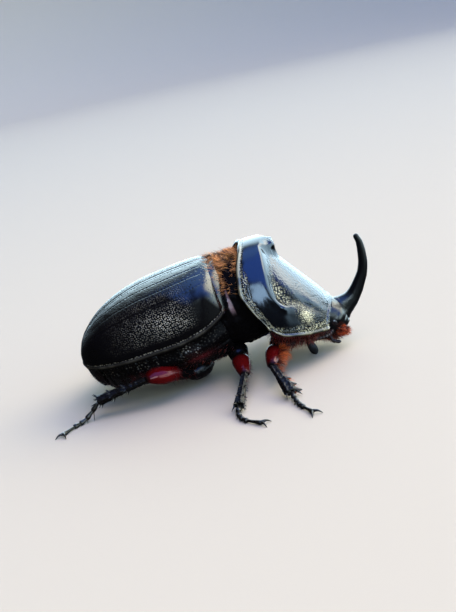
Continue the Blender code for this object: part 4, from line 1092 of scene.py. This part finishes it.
# %% Leg places
FOOT_RADIUS = 0.42
FOOT_HEIGHT = 0.36
FOOT_JOINTS = (1.35, 1.2, 1.2, 1.2, 2.7)
FOOT_FALL = (0.5, 0.15, 0.0, 0.0, 0.0)
TOOTH_REACH = 1.55
THIGH_GIRTH = ((0.0, 0.72), (0.18, 0.95), (0.45, 1.08), (0.75, 0.9), (1.0, 0.62))
HIND_THIGH_GIRTH = ((0.0, 0.66), (0.2, 0.84), (0.45, 1.08), (0.68, 1.2), (0.86, 1.0), (1.0, 0.6))
RED_PART = (0.44, 0.88, 0.5)
HIND_RED_PART = (0.4, 0.9, 0.8)
KINDS = {
    "front": {"thigh": 1.2, "shin": (0.6, 1.1), "teeth": 3, "girth": THIGH_GIRTH, "red": RED_PART},
    "mid": {"thigh": 1.25, "shin": (0.55, 0.9), "teeth": 0, "girth": THIGH_GIRTH, "red": RED_PART},
    "hind": {"thigh": 1.55, "shin": (0.6, 1.0), "teeth": 0, "girth": HIND_THIGH_GIRTH,
             "red": HIND_RED_PART},
}
LEGS = {
    "front_right": {
        "root": (9.4, -2.6, 4.6), "hip": (8.2, -5.2, 3.7), "knee": (6.6, -12.6, 3.6),
        "ankle": (8.4, -18.9, 1.1), "heading": -84, "turn": 4,
    },
    "mid_right": {
        "root": (1.8, -2.6, 4.4), "hip": (2.0, -5.4, 3.5), "knee": (2.2, -13.2, 3.4),
        "ankle": (0.4, -19.6, 1.1), "heading": -104, "turn": 15,
    },
    "hind_right": {
        "root": (-3.7, -2.8, 3.1), "hip": (-6.0, -6.2, 2.9), "knee": (-12.6, -11.0, 5.2),
        "ankle": (-20.9, -9.9, 3.1), "heading": -178, "turn": 13,
    },
    "front_left": {
        "root": (9.4, 2.6, 4.6), "hip": (9.0, 5.2, 3.7), "knee": (9.0, 12.3, 4.0),
        "ankle": (12.6, 17.0, 1.1), "heading": 56, "turn": 5,
    },
    "mid_left": {
        "root": (1.8, 2.6, 4.4), "hip": (1.5, 5.4, 3.5), "knee": (-0.3, 12.4, 4.2),
        "ankle": (-3.9, 17.6, 1.1), "heading": 118, "turn": -17,
    },
    "hind_left": {
        "root": (-3.7, 2.8, 3.1), "hip": (-6.0, 6.2, 2.9), "knee": (-11.2, 12.6, 4.2),
        "ankle": (-16.9, 17.9, 1.2), "heading": 140, "turn": 5,
    },
}
for name, leg in LEGS.items():
    leg.update(KINDS[name.split("_")[0]])
    for joint in ("root", "hip", "knee", "ankle"):
        leg[joint] = np.array(leg[joint], float)
print("legs:", len(LEGS))


# %% Hip and thigh
HIP_LINE = ((0.0, 0.95), (0.35, 1.15), (0.75, 1.05), (1.0, 0.75))
THIGH_ARCH = 0.5
THIGH_SIDES = 72


def hip_rings(leg):
    """The short coxa that carries the leg on the underside."""
    root, way, thick = leg["root"], leg["hip"] - leg["root"], leg["thigh"]
    rows = [(*(root + way * share), thick * size * 1.2, thick * size) for share, size in HIP_LINE]
    rings = limb_rings(domed(spline(rows, 40), 0.5, 0.6), sides=60)
    return raised(rings, 0.05 * wobble(rings, 0.5, 35))


def thigh_rings(leg):
    """The stout femur, with a shallow groove below for the folded shin, a dark knee and a dark root."""
    rows = []
    for share, size in leg["girth"]:
        arch = np.array((0, 0, THIGH_ARCH)) * math.sin(math.pi * share)
        place = leg["hip"] + (leg["knee"] - leg["hip"]) * share + arch
        rows.append((*place, leg["thigh"] * size * 1.08, leg["thigh"] * size * 0.85))
    rings = limb_rings(domed(spline(rows, 90), 0.6, 0.75), sides=THIGH_SIDES)
    angle = all_round(THIGH_SIDES)
    length = lengths_along(rings)
    share = length / length[-1:]
    groove = 0.16 * bump(np.sin(angle), -1.0, 0.1)[None] * ramp(share, 0.3, 0.6)
    height = -0.1 * bump(share, 0.93, 0.02) - groove
    height -= 0.03 * pits(length, lengths_along(rings, axis=1), 0.8, 0.13, seed=101)
    bright_from, bright_to, redness = leg["red"]
    dark = np.maximum(ramp(share, bright_to - 0.02, bright_to + 0.08),
                      ramp(share, bright_from + 0.08, bright_from - 0.04))
    warm = redness * bump(share, (bright_from + bright_to) / 2, 0.3)
    return raised(rings, height), dark, warm


# %% Shin
SHIN_SIDES = 56
SPINE_RINGS = ((0.42, 0.62), (0.7, 0.72), (0.95, 0.8))
SPINES_ROUND = 7


def shin_axes(leg):
    """The way along the shin, the way to the edge that bears its teeth and the way up from it."""
    ahead = unit(leg["ankle"] - leg["knee"])
    side = unit(np.cross(ahead, (0, 0, 1)))
    return ahead, (side if leg["ankle"][1] > 0 else -side), np.cross(side, ahead)


def shin_bodies(leg):
    """The tibia with its keels, then its teeth or rows of spines and the two spurs beside the foot."""
    narrow, wide = leg["shin"]
    knee, way = leg["knee"], leg["ankle"] - leg["knee"]
    rows = []
    line = ((-0.04, narrow * 0.9), (0.12, narrow), (0.4, narrow * 1.15), (0.75, wide * 0.85), (1.0, wide))
    for share, size in line:
        rows.append((*(knee + way * share), size, size * (0.62 if leg["teeth"] else 0.85)))
    rings = limb_rings(domed(spline(rows, 90), 0.15, 0.3), sides=SHIN_SIDES)
    angle = all_round(SHIN_SIDES)
    length = lengths_along(rings)
    height = 0.12 * np.abs(np.cos(angle * 3 + 0.4))[None] ** 3 - 0.06
    height = height - 0.08 * pits(length, lengths_along(rings, axis=1), 0.4, 0.15, seed=111)
    height = height + 0.07 * wobble(rings, 0.4, 37)
    # The shin is near black with little gloss: partly its own blackish colour, partly painted shade.
    bodies = [evenly_marked(raised(rings, height), dark=0.62)]
    ahead, outer, lift = shin_axes(leg)
    for k in range(leg["teeth"]):
        root = knee + way * (0.95 - 0.22 * k) + outer * narrow * 0.2
        tip = root + outer * TOOTH_REACH * (1 - 0.1 * k) + ahead * 0.6
        bodies.append(spike(root - ahead * 0.35, tip, 0.58 * (1 - 0.1 * k), 20, ahead * 0.12))
    if not leg["teeth"]:
        for share, reach in SPINE_RINGS:
            girth = narrow + (wide - narrow) * share
            for k in range(SPINES_ROUND):
                slant = math.radians(-120 + 40 * k)
                out = outer * math.cos(slant) + lift * math.sin(slant)
                root = knee + way * (share + 0.012 * (k - 3)) + out * girth * 0.35
                tip = root + out * (girth * 0.65 + reach * 0.42) + ahead * reach
                bodies.append(spike(root, tip, 0.17, 10))
    for side in (-1, 1):
        root = leg["ankle"] - ahead * 0.5 + outer * side * wide * 0.5
        tip = leg["ankle"] + ahead * 1.3 + outer * side * wide * 1.1
        bodies.append(spike(root, tip, 0.2, 12, outer * side * 0.08))
    return bodies


# %% Foot
CUP_PLACES = (-0.08, 0.2, 0.55, 0.88, 1.0)
CUP_SIZES = (0.5, 0.6, 0.8, 1.0, 0.92)
LAST_CUP_SIZES = (0.45, 0.5, 0.58, 0.78, 0.72)
CLAW_LINE = ((-0.3, 0, 0.24), (0.2, 0.1, 0.23), (0.65, 0.12, 0.18), (1.05, 0.0, 0.13), (1.35, -0.2, 0.075),
             (1.5, -0.32, 0.03))


def foot_path(leg):
    """Points of the foot: down from the ankle, then along the floor on its heading."""
    place, heading = leg["ankle"].copy(), math.radians(leg["heading"])
    points = [place.copy()]
    for length, fall in zip(FOOT_JOINTS, FOOT_FALL):
        place = place + np.array((math.cos(heading), math.sin(heading), 0)) * length
        place[2] = FOOT_HEIGHT + (leg["ankle"][2] - FOOT_HEIGHT) * fall
        points.append(place.copy())
        heading += math.radians(leg["turn"])
    return np.array(points), heading


def on_floor(rings):
    """Rings with whatever would sink into the floor pressed flat on it."""
    rings = np.array(rings)
    rings[..., 2] = np.maximum(rings[..., 2], 0.0)
    return rings


def foot_bodies(leg):
    """Five cups on a string, each with two short spines below its end, and two hooked claws."""
    points, heading = foot_path(leg)
    bodies = []
    for k, (a, b) in enumerate(zip(points, points[1:])):
        last = k == len(FOOT_JOINTS) - 1
        rows = [(*(a + (b - a) * share), FOOT_RADIUS * size, FOOT_RADIUS * size)
                for share, size in zip(CUP_PLACES, LAST_CUP_SIZES if last else CUP_SIZES)]
        bodies.append(closed(on_floor(limb_rings(domed(spline(rows, 26), 0.6, 0.5, 4), sides=24))))
        if last:
            continue
        way = unit(b - a)
        out = np.cross(way, (0, 0, 1))
        for side in (-1, 1):
            root = b - way * 0.15 + out * side * FOOT_RADIUS * 0.6
            tip = root + way * 0.45 + out * side * 0.28 - np.array((0, 0, root[2] - 0.08))
            bodies.append(spike(root, tip, 0.07, 7))
    end = points[-1]
    for side, splay, lift in ((-1, 36, 0.0), (1, 41, 0.04)):
        splay = heading + side * math.radians(splay)
        out = np.array((math.cos(splay), math.sin(splay), 0))
        rows = [(*(end + out * reach + np.array((0, 0, height + lift))), size, size)
                for reach, height, size in CLAW_LINE]
        bodies.append(closed(on_floor(limb_rings(spline(rows, 30), sides=16))))
    return bodies


# %% Dress the legs
THIGHS = {}
for name, leg in LEGS.items():
    # Painted shade: the hips under the body turn near black and lose their gloss.
    coxa = evenly_marked(hip_rings(leg), dark=0.7)
    make(f"{name}_coxa", [coxa], BELLY_FINISH, [f"{name}_hip"])
    THIGHS[name], dark, warm = thigh_rings(leg)
    thigh = closed(THIGHS[name], dark=dark, warm=warm)
    make(f"{name}_femur", [thigh], THIGH_FINISH, [f"{name}_thigh"])
    make(f"{name}_tibia", shin_bodies(leg), SHIN_FINISH, [f"{name}_shin"])
    make(f"{name}_tarsus", foot_bodies(leg), SHIN_FINISH, [f"{name}_foot"])

# %% [markdown]
# ## Hair
# Reddish hair fills the joint behind the shield, hangs in a fringe under it, and grows round the mouth and
# on the legs. Blender's hair would look right but is lost when the model is exported, so each hair or tuft
# is a thin three-sided blade that tapers and bends. All blades of one place are worked out at once in numpy
# and joined in one mesh. Each also gets a small patch on a map named OFBake at its root's place on the skin
# below.

# %% Hair helper
HAIR_STEPS = 4
PATCH = 0.003
rng = np.random.default_rng(7)


def hair_finish(name, dark, bright):
    """Hair from dark to bright, by a number that each blade carries."""
    made = bpy.data.materials.new(name)
    made.use_nodes = True
    nodes, links = made.node_tree.nodes, made.node_tree.links
    shader = nodes["Principled BSDF"]
    shade = nodes.new("ShaderNodeAttribute")
    shade.attribute_name = "shade"
    ramp_node = nodes.new("ShaderNodeValToRGB")
    ramp_node.color_ramp.elements[0].position = 0.32
    ramp_node.color_ramp.elements[0].color = (*dark, 1.0)
    ramp_node.color_ramp.elements[1].color = (*bright, 1.0)
    links.new(shade.outputs["Fac"], ramp_node.inputs["Fac"])
    links.new(ramp_node.outputs["Color"], shader.inputs["Base Color"])
    shader.inputs["Roughness"].default_value = 0.5
    shader.inputs["Specular IOR Level"].default_value = 0.25
    return made


def sampled(rings, wanted, count):
    """Places drawn on a skin: points, the way out, and the share along and around where each one grows."""
    weight = np.asarray(wanted, float).reshape(-1)
    drawn = rng.choice(len(weight), size=count, p=weight / weight.sum())
    row, column = np.unravel_index(drawn, rings.shape[:2])
    spots = rings[row, column] + rng.normal(0, 0.04, (count, 3))
    shares = np.stack([row / rings.shape[0], column / rings.shape[1]], axis=1)
    return spots, outward(rings)[row, column], shares


def hairs(name, spots, ways, length, width, droop, shares, material):
    """Tapered blades from spots, along ways, bent by the droop, as one joined mesh."""
    count = len(spots)
    length = np.broadcast_to(length, count) * rng.uniform(0.7, 1.15, count)
    ways = unit(ways + rng.normal(0, 0.16, (count, 3)))
    side = unit(np.cross(ways, rng.normal(0, 1, (count, 3))))
    other = np.cross(ways, side)
    share = np.arange(HAIR_STEPS) / HAIR_STEPS
    bend = np.asarray(droop, float) + rng.normal(0, 0.12, (count, 3))
    spine = spots[:, None] + ways[:, None] * (length[:, None] * share)[..., None]
    spine = spine + bend[:, None] * (length[:, None] * share**2)[..., None]
    tips = spots + ways * length[:, None] + bend * length[:, None]
    angle = all_round(3)
    around = side[:, None] * np.cos(angle)[None, :, None] + other[:, None] * np.sin(angle)[None, :, None]
    thick = width * (1 - share) ** 0.7 * 0.5
    rings = spine[:, :, None] + around[:, None] * thick[None, :, None, None]
    each = HAIR_STEPS * 3 + 1
    points = np.concatenate([rings.reshape(count, -1, 3), tips[:, None]], axis=1).reshape(-1, 3)
    points[:, 2] = np.maximum(points[:, 2], 0.02)
    quads = [(s * 3 + k, s * 3 + (k + 1) % 3, s * 3 + 3 + (k + 1) % 3, s * 3 + 3 + k)
             for s in range(HAIR_STEPS - 1) for k in range(3)]
    top = (HAIR_STEPS - 1) * 3
    fans = [(top + k, top + (k + 1) % 3, each - 1) for k in range(3)] + [(2, 1, 0)]
    base = (np.arange(count) * each)[:, None, None]
    faces = (np.array(quads) + base).reshape(-1, 4).tolist() + (np.array(fans) + base).reshape(-1, 3).tolist()
    mesh = bpy.data.meshes.new(name)
    mesh.from_pydata(((points + SHIFT) * MM).tolist(), [], faces)
    lock = 0.1 + 0.45 * rng.uniform(0, 1, count) + 0.35 * wobble(spots, 0.45, 77)
    shade = np.clip(lock[:, None] + 0.4 * np.append(np.repeat(share, 3), 1.0), 0, 1)
    layer = mesh.attributes.new("shade", "FLOAT", "POINT")
    layer.data.foreach_set("value", shade.reshape(-1).astype(np.float32))
    blade = np.stack([np.repeat(share, 3), np.tile((0, 0.5, 1), HAIR_STEPS)], axis=1)
    patch = np.concatenate([blade, [(1.0, 0.5)]])
    flat = (np.asarray(shares)[:, None] * 0.99 + patch[None] * PATCH).reshape(-1, 2)
    corner = np.zeros(len(mesh.loops), dtype=np.int32)
    mesh.loops.foreach_get("vertex_index", corner)
    mesh.uv_layers.new(name="OFBake").data.foreach_set("uv", flat[corner].reshape(-1).astype(np.float32))
    mesh.materials.append(material)
    mesh.shade_smooth()
    obj = bpy.data.objects.new(name, mesh)
    bpy.context.scene.collection.objects.link(obj)
    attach(obj, "root")
    print(f"{name}: {count} hairs, {len(faces)} faces")
    return obj


ORANGE_HAIR = hair_finish("orange_hair", (0.015, 0.004, 0.002), (1.0, 0.4, 0.11))
RED_HAIR = hair_finish("red_hair", (0.012, 0.002, 0.001), (0.2, 0.022, 0.006))
RUSTY_HAIR = hair_finish("rusty_hair", (0.02, 0.002, 0.001), (0.6, 0.08, 0.01))
BRIGHT_HAIR = hair_finish("bright_hair", (0.03, 0.003, 0.001), (0.85, 0.15, 0.012))

# %% Hair behind the shield
COLLAR_HAIRS = 3600
SCUTELLUM_HAIRS = 500
gaps = ramp(wobble(COLLAR * (1, 1, 0.6), 0.8, 43), -0.2, 0.25)
behind = ramp(COLLAR[..., 0], 3.4, 1.6) * ramp(COLLAR[..., 2], 14.6, 15.6) + ramp(COLLAR[..., 2], 16.6, 17.8)
hole = bump(COLLAR[..., 2], 16.7, 1.6) * bump(COLLAR[..., 0], 3.0, 1.0)
thick = np.clip(behind, 0, 1) * (0.08 + gaps) + 0.07 * ramp(COLLAR[..., 2], 14.0, 15.2)
grown = ramp(COLLAR[..., 0], 6.6, 5.0) * thick
spots, ways, shares = sampled(COLLAR, grown * (1 - 0.92 * hole), COLLAR_HAIRS)
reach = 1.5 - 1.0 * bump(spots[:, 2], 16.4, 2.0) * bump(spots[:, 0], 3.8, 1.2)
swirl = np.stack([wobble(spots, 0.9, 44), wobble(spots, 0.9, 46), wobble(spots, 0.9, 45)], axis=1)
ways = ways * 0.7 + (-0.9, 0, 0.25) + 1.1 * swirl
hairs("collar_hair", spots, ways, reach, 0.06, (-0.25, 0, -0.15), shares, ORANGE_HAIR)
grown = ramp(lengths_along(PLATE), 3.0, 4.4) * (np.arange(PLATE.shape[1]) < SCUTELLUM_TOP)
spots, ways, shares = sampled(PLATE, grown, SCUTELLUM_HAIRS)
ways = ways * 0.15 + (0.9, 0, -0.1)
hairs("scutellum_hair", spots, ways, 0.8, 0.05, (-0.1, 0, -0.3), shares, ORANGE_HAIR)

# %% Fringes under the shield and round the mouth
FRINGE_HAIRS = 1500
MOUTH_HAIRS = 1500
JAW_HAIRS = 700
row = rng.integers(60, SHIELD.shape[0] - 12, FRINGE_HAIRS)
side = rng.integers(0, 2, FRINGE_HAIRS)
column = np.where(side == 0, 0, SHIELD_ARCS - 1)
inwards = np.where(side == 0, -1.0, 1.0) * rng.uniform(0.3, 1.6, FRINGE_HAIRS)
above = rng.uniform(0.0, 0.3, FRINGE_HAIRS)
spots = SHIELD[row, column] + np.stack([np.zeros(FRINGE_HAIRS), inwards, above], axis=1)
backwards = rng.normal(-0.6, 0.5, FRINGE_HAIRS)
ways = np.stack([backwards, np.where(side == 0, 0.5, -0.5), np.full(FRINGE_HAIRS, -0.8)], axis=1)
shares = np.stack([row / SHIELD.shape[0], side * 0.9], 1)
hairs("shield_fringe", spots, ways, 0.75, 0.045, (0.0, 0.0, -0.15), shares, RED_HAIR)
row = rng.integers(8, LIP.shape[0], MOUTH_HAIRS)
column = rng.integers(0, LIP.shape[1], MOUTH_HAIRS)
ways = outward(LIP)[row, column] + AHEAD * 0.9
shares = np.stack([row / LIP.shape[0], column / LIP.shape[1]], 1)
hairs("mouth_brush", LIP[row, column], ways, 0.8, 0.055, (0.1, 0, -0.1), shares, RED_HAIR)
for word, rings in JAWS.items():
    spots, ways, shares = sampled(rings, ramp(lengths_along(rings), 0.2, 0.8) + 0.05, JAW_HAIRS)
    ways = ways * 0.8 + (0.8, 0, -0.25)
    hairs(f"{word}_jaw_brush", spots, ways, 0.65, 0.055, (0.1, 0, -0.2), shares, RUSTY_HAIR)

# %% Hair on the breast, belly and legs
BREAST_HAIRS = 1300
below = np.ones(BREAST.shape[:2]) * (np.arange(BREAST.shape[1]) < BREAST_UNDER)
spots, ways, shares = sampled(BREAST, below, BREAST_HAIRS)
hairs("breast_hair", spots, ways + (-0.3, 0, -0.2), 1.0, 0.08, (-0.1, 0, -0.2), shares, RED_HAIR)
for node, count, reach in (("hind_thorax", 500, 0.6), ("abdomen", 220, 0.4), ("tail_plate", 60, 0.35)):
    skin = BODY[node]
    down = (np.clip(-np.sin(BODY_ANGLES), 0, 1) > 0.55)[None] * np.ones(skin.shape[:2])
    spots, ways, shares = sampled(skin, down, count)
    ways = ways * 0.6 + (-0.8, 0, -0.2)
    hairs(f"{node}_hair", spots, ways, reach, 0.05, (-0.15, 0, -0.1), shares, RED_HAIR)
for name, leg in LEGS.items():
    rings = THIGHS[name]
    ahead, outer, lift = shin_axes(leg)
    facing = ramp((outward(rings) * np.array((1, 0, -0.25))).sum(-1), 0.2, 0.9)
    spots, ways, shares = sampled(rings, facing, 360 if leg["teeth"] else 60)
    ways = ways + (0.1, 0, -0.3) + rng.normal(0, 0.3, (len(ways), 3))
    hairs(f"{name}_femur_hair", spots, ways, 1.5 if leg["teeth"] else 0.6, 0.065, (0, 0, -0.2), shares,
          BRIGHT_HAIR if leg["teeth"] else RED_HAIR)
    count = 150 if leg["teeth"] else 90
    share = rng.uniform(0.1, 0.95, count)
    spots = leg["knee"] + (leg["ankle"] - leg["knee"]) * share[:, None]
    ways = np.array((1.0, 0, -0.1)) + rng.normal(0, 0.35, (count, 3)) + ahead * 0.7
    shares = np.stack([share, rng.uniform(0, 0.9, count)], axis=1)
    hairs(f"{name}_tibia_hair", spots, ways, 1.9 if leg["teeth"] else 1.1, 0.05, (0, 0, -0.1), shares,
          BRIGHT_HAIR if leg["teeth"] else RED_HAIR)

# %% [markdown]
# ## Floor, light and camera
# Shiny black shell shows nothing but what it reflects, so the light matters more than the colour. A dome of
# light stands in for an open sky: pale with a white cloud ahead of the beetle, deep blue overhead, a small
# cloud behind the camera, and dark elsewhere. It draws the pale and the blue gloss over back and shield. A
# warm panel fills the shadows without a reflection in the shell. The beetle stands on a pale paper sweep.
# The camera looks from the right side, sixteen degrees down and rolled, as the photo does.


# %% Floor
def paper_sweep():
    """A round pale floor that curves up into a low wall."""
    flat, corner, wall = 0.75, 0.18, 0.02
    profile = [(0.0, 0.0), (flat * 0.5, 0.0), (flat, 0.0)]
    for k in range(1, 13):
        turn = math.pi / 2 * k / 12
        profile.append((flat + corner * math.sin(turn), corner * (1 - math.cos(turn))))
    profile.append((flat + corner, corner + wall))
    sides = 96
    points = [(0, 0, 0)] + [(r * math.cos(math.tau * k / sides), r * math.sin(math.tau * k / sides), z)
                            for r, z in profile[1:] for k in range(sides)]
    faces = [(0, 1 + k, 1 + (k + 1) % sides) for k in range(sides)]
    for ring in range(len(profile) - 2):
        a, b = 1 + ring * sides, 1 + (ring + 1) * sides
        faces += [(a + k, b + k, b + (k + 1) % sides, a + (k + 1) % sides) for k in range(sides)]
    mesh = bpy.data.meshes.new("paper_sweep")
    mesh.from_pydata(points, [], faces)
    mesh.shade_smooth()
    made = bpy.data.materials.new("pale_paper")
    made.use_nodes = True
    shader = made.node_tree.nodes["Principled BSDF"]
    shader.inputs["Base Color"].default_value = (0.33, 0.275, 0.195, 1.0)
    shader.inputs["Roughness"].default_value = 0.9
    shader.inputs["Specular IOR Level"].default_value = 0.2
    mesh.materials.append(made)
    obj = bpy.data.objects.new("paper_sweep", mesh)
    bpy.context.scene.collection.objects.link(obj)
    obj.visible_glossy = False
    return obj


paper_sweep()


# %% Lights
def panel(name, place, aim, size, power, colour, mirrored=True):
    """A square soft panel that faces a point; unless mirrored, the shell shows no reflection of it."""
    light = bpy.data.lights.new(name, "AREA")
    light.shape = "SQUARE"
    light.size = size
    light.energy = power
    light.color = colour
    obj = bpy.data.objects.new(name, light)
    obj.location = place
    obj.rotation_euler = (Vector(aim) - Vector(place)).to_track_quat("-Z", "Y").to_euler()
    obj.visible_glossy = mirrored
    bpy.context.scene.collection.objects.link(obj)
    return obj


def direction(azimuth, height):
    """A unit vector to a place on the dome; azimuth 0 is ahead of the beetle, -90 behind the camera."""
    azimuth, height = math.radians(azimuth), math.radians(height)
    return math.cos(height) * math.cos(azimuth), math.cos(height) * math.sin(azimuth), math.sin(height)


def soft_dome():
    """The light all round: dark behind the beetle, pale sky ahead, deep blue overhead and two clouds."""
    world = bpy.data.worlds.new("soft_dome")
    bpy.context.scene.world = world
    world.use_nodes = True
    nodes, links = world.node_tree.nodes, world.node_tree.links
    way = nodes.new("ShaderNodeTexCoord")
    height = nodes.new("ShaderNodeSeparateXYZ")
    links.new(way.outputs["Generated"], height.inputs[0])

    def between(value, low, high):
        """0 below a number and 1 above another, with a smooth step in the middle."""
        node = nodes.new("ShaderNodeMapRange")
        node.interpolation_type = "SMOOTHSTEP"
        node.inputs["From Min"].default_value = low
        node.inputs["From Max"].default_value = high
        links.new(value, node.inputs["Value"])
        return node.outputs["Result"]

    wisps = nodes.new("ShaderNodeTexNoise")
    wisps.inputs["Scale"].default_value = WISP_SCALE
    wisps.inputs["Detail"].default_value = WISP_DETAIL
    links.new(way.outputs["Generated"], wisps.inputs["Vector"])
    stirred = nodes.new("ShaderNodeVectorMath")
    stirred.operation = "MULTIPLY_ADD"
    stirred.inputs[1].default_value = (WISP_STIR,) * 3
    links.new(wisps.outputs["Color"], stirred.inputs[0])
    links.new(way.outputs["Generated"], stirred.inputs[2])
    middled = nodes.new("ShaderNodeVectorMath")
    middled.operation = "ADD"
    middled.inputs[1].default_value = (-WISP_STIR / 2,) * 3
    links.new(stirred.outputs[0], middled.inputs[0])
    colour = None
    for centre, outer, inner, shade, steps in DOME_PATCHES:
        near = nodes.new("ShaderNodeVectorMath")
        near.operation = "DOT_PRODUCT"
        near.inputs[1].default_value = direction(*centre)
        links.new(middled.outputs[0], near.inputs[0])
        share = between(near.outputs["Value"], math.cos(math.radians(outer)), math.cos(math.radians(inner)))
        for low, high in steps:
            limit = nodes.new("ShaderNodeMath")
            limit.operation = "MULTIPLY"
            links.new(share, limit.inputs[0])
            links.new(between(height.outputs["Z"], low, high), limit.inputs[1])
            share = limit.outputs[0]
        mix = nodes.new("ShaderNodeMix")
        mix.data_type = "RGBA"
        mix.clamp_factor = True
        links.new(share, mix.inputs["Factor"])
        if colour is None:
            mix.inputs[6].default_value = (*ROOM_COLOUR, 1.0)
        else:
            links.new(colour, mix.inputs[6])
        mix.inputs[7].default_value = (*shade, 1.0)
        colour = mix.outputs[2]
    links.new(colour, nodes["Background"].inputs["Color"])
    nodes["Background"].inputs["Strength"].default_value = 1.0


ROOM_COLOUR = (0.04, 0.04, 0.045)
WISP_SCALE = 7.0
WISP_DETAIL = 2.5
WISP_STIR = 0.12
PALE_SKY = (3.8, 5.2, 6.1)
DEEP_BLUE = (0.42, 1.05, 4.1)
WHITE_CLOUD = (9.6, 9.8, 9.4)
SMALL_CLOUD = (6.4, 8.8, 11.5)
SKY_BAND = ((-0.25, 0.0), (0.84, 0.6))
DOME_PATCHES = (
    ((30, 8), 90, 62, PALE_SKY, SKY_BAND),
    ((-15, 10), 56, 36, PALE_SKY, SKY_BAND),
    ((48, 74), 32, 14, (0.6, 1.3, 3.6), ()),
    ((-50, 62), 38, 27, DEEP_BLUE, ()),
    ((-24, 36), 15, 8, DEEP_BLUE, ()),
    ((22, 40), 28, 16, WHITE_CLOUD, ()),
    ((-88, 24), 16, 8, SMALL_CLOUD, ()),
)
soft_dome()
panel("fill_panel", (0.10, -0.16, 0.45), (0.0, 0.0, 0.01), 0.3, 2.0, (1.0, 0.87, 0.72), mirrored=False)
bpy.context.scene.view_settings.view_transform = "Standard"
bpy.context.scene.view_settings.look = "None"

# %% Camera
CAMERA_RISE = math.radians(16)
CAMERA_ROLL = math.radians(12.5)
CAMERA_DISTANCE = 170.0
PIXELS_PER_MM = 6.0
PHOTO_HEIGHT = 612
FRAME_CENTRE = (-2 / PIXELS_PER_MM, 63 / PIXELS_PER_MM)
SENSOR = 36.0

back_way = Vector((0, -math.cos(CAMERA_RISE), math.sin(CAMERA_RISE)))
level_right = Vector((1, 0, 0))
level_up = back_way.cross(level_right)
right = level_right * math.cos(CAMERA_ROLL) - level_up * math.sin(CAMERA_ROLL)
up = level_right * math.sin(CAMERA_ROLL) + level_up * math.cos(CAMERA_ROLL)
target = right * FRAME_CENTRE[0] + up * FRAME_CENTRE[1] + Vector(SHIFT)
camera_data = bpy.data.cameras.new("camera")
camera_data.sensor_width = SENSOR
camera_data.lens = SENSOR * CAMERA_DISTANCE / (PHOTO_HEIGHT / PIXELS_PER_MM)
camera_data.clip_start = 0.005
camera = bpy.data.objects.new("camera", camera_data)
turn = Matrix((right, up, back_way)).transposed().to_4x4()
camera.matrix_world = Matrix.Translation((target + back_way * CAMERA_DISTANCE) * MM) @ turn
bpy.context.scene.collection.objects.link(camera)
bpy.context.scene.camera = camera
print("lens:", round(camera_data.lens, 1), "mm")
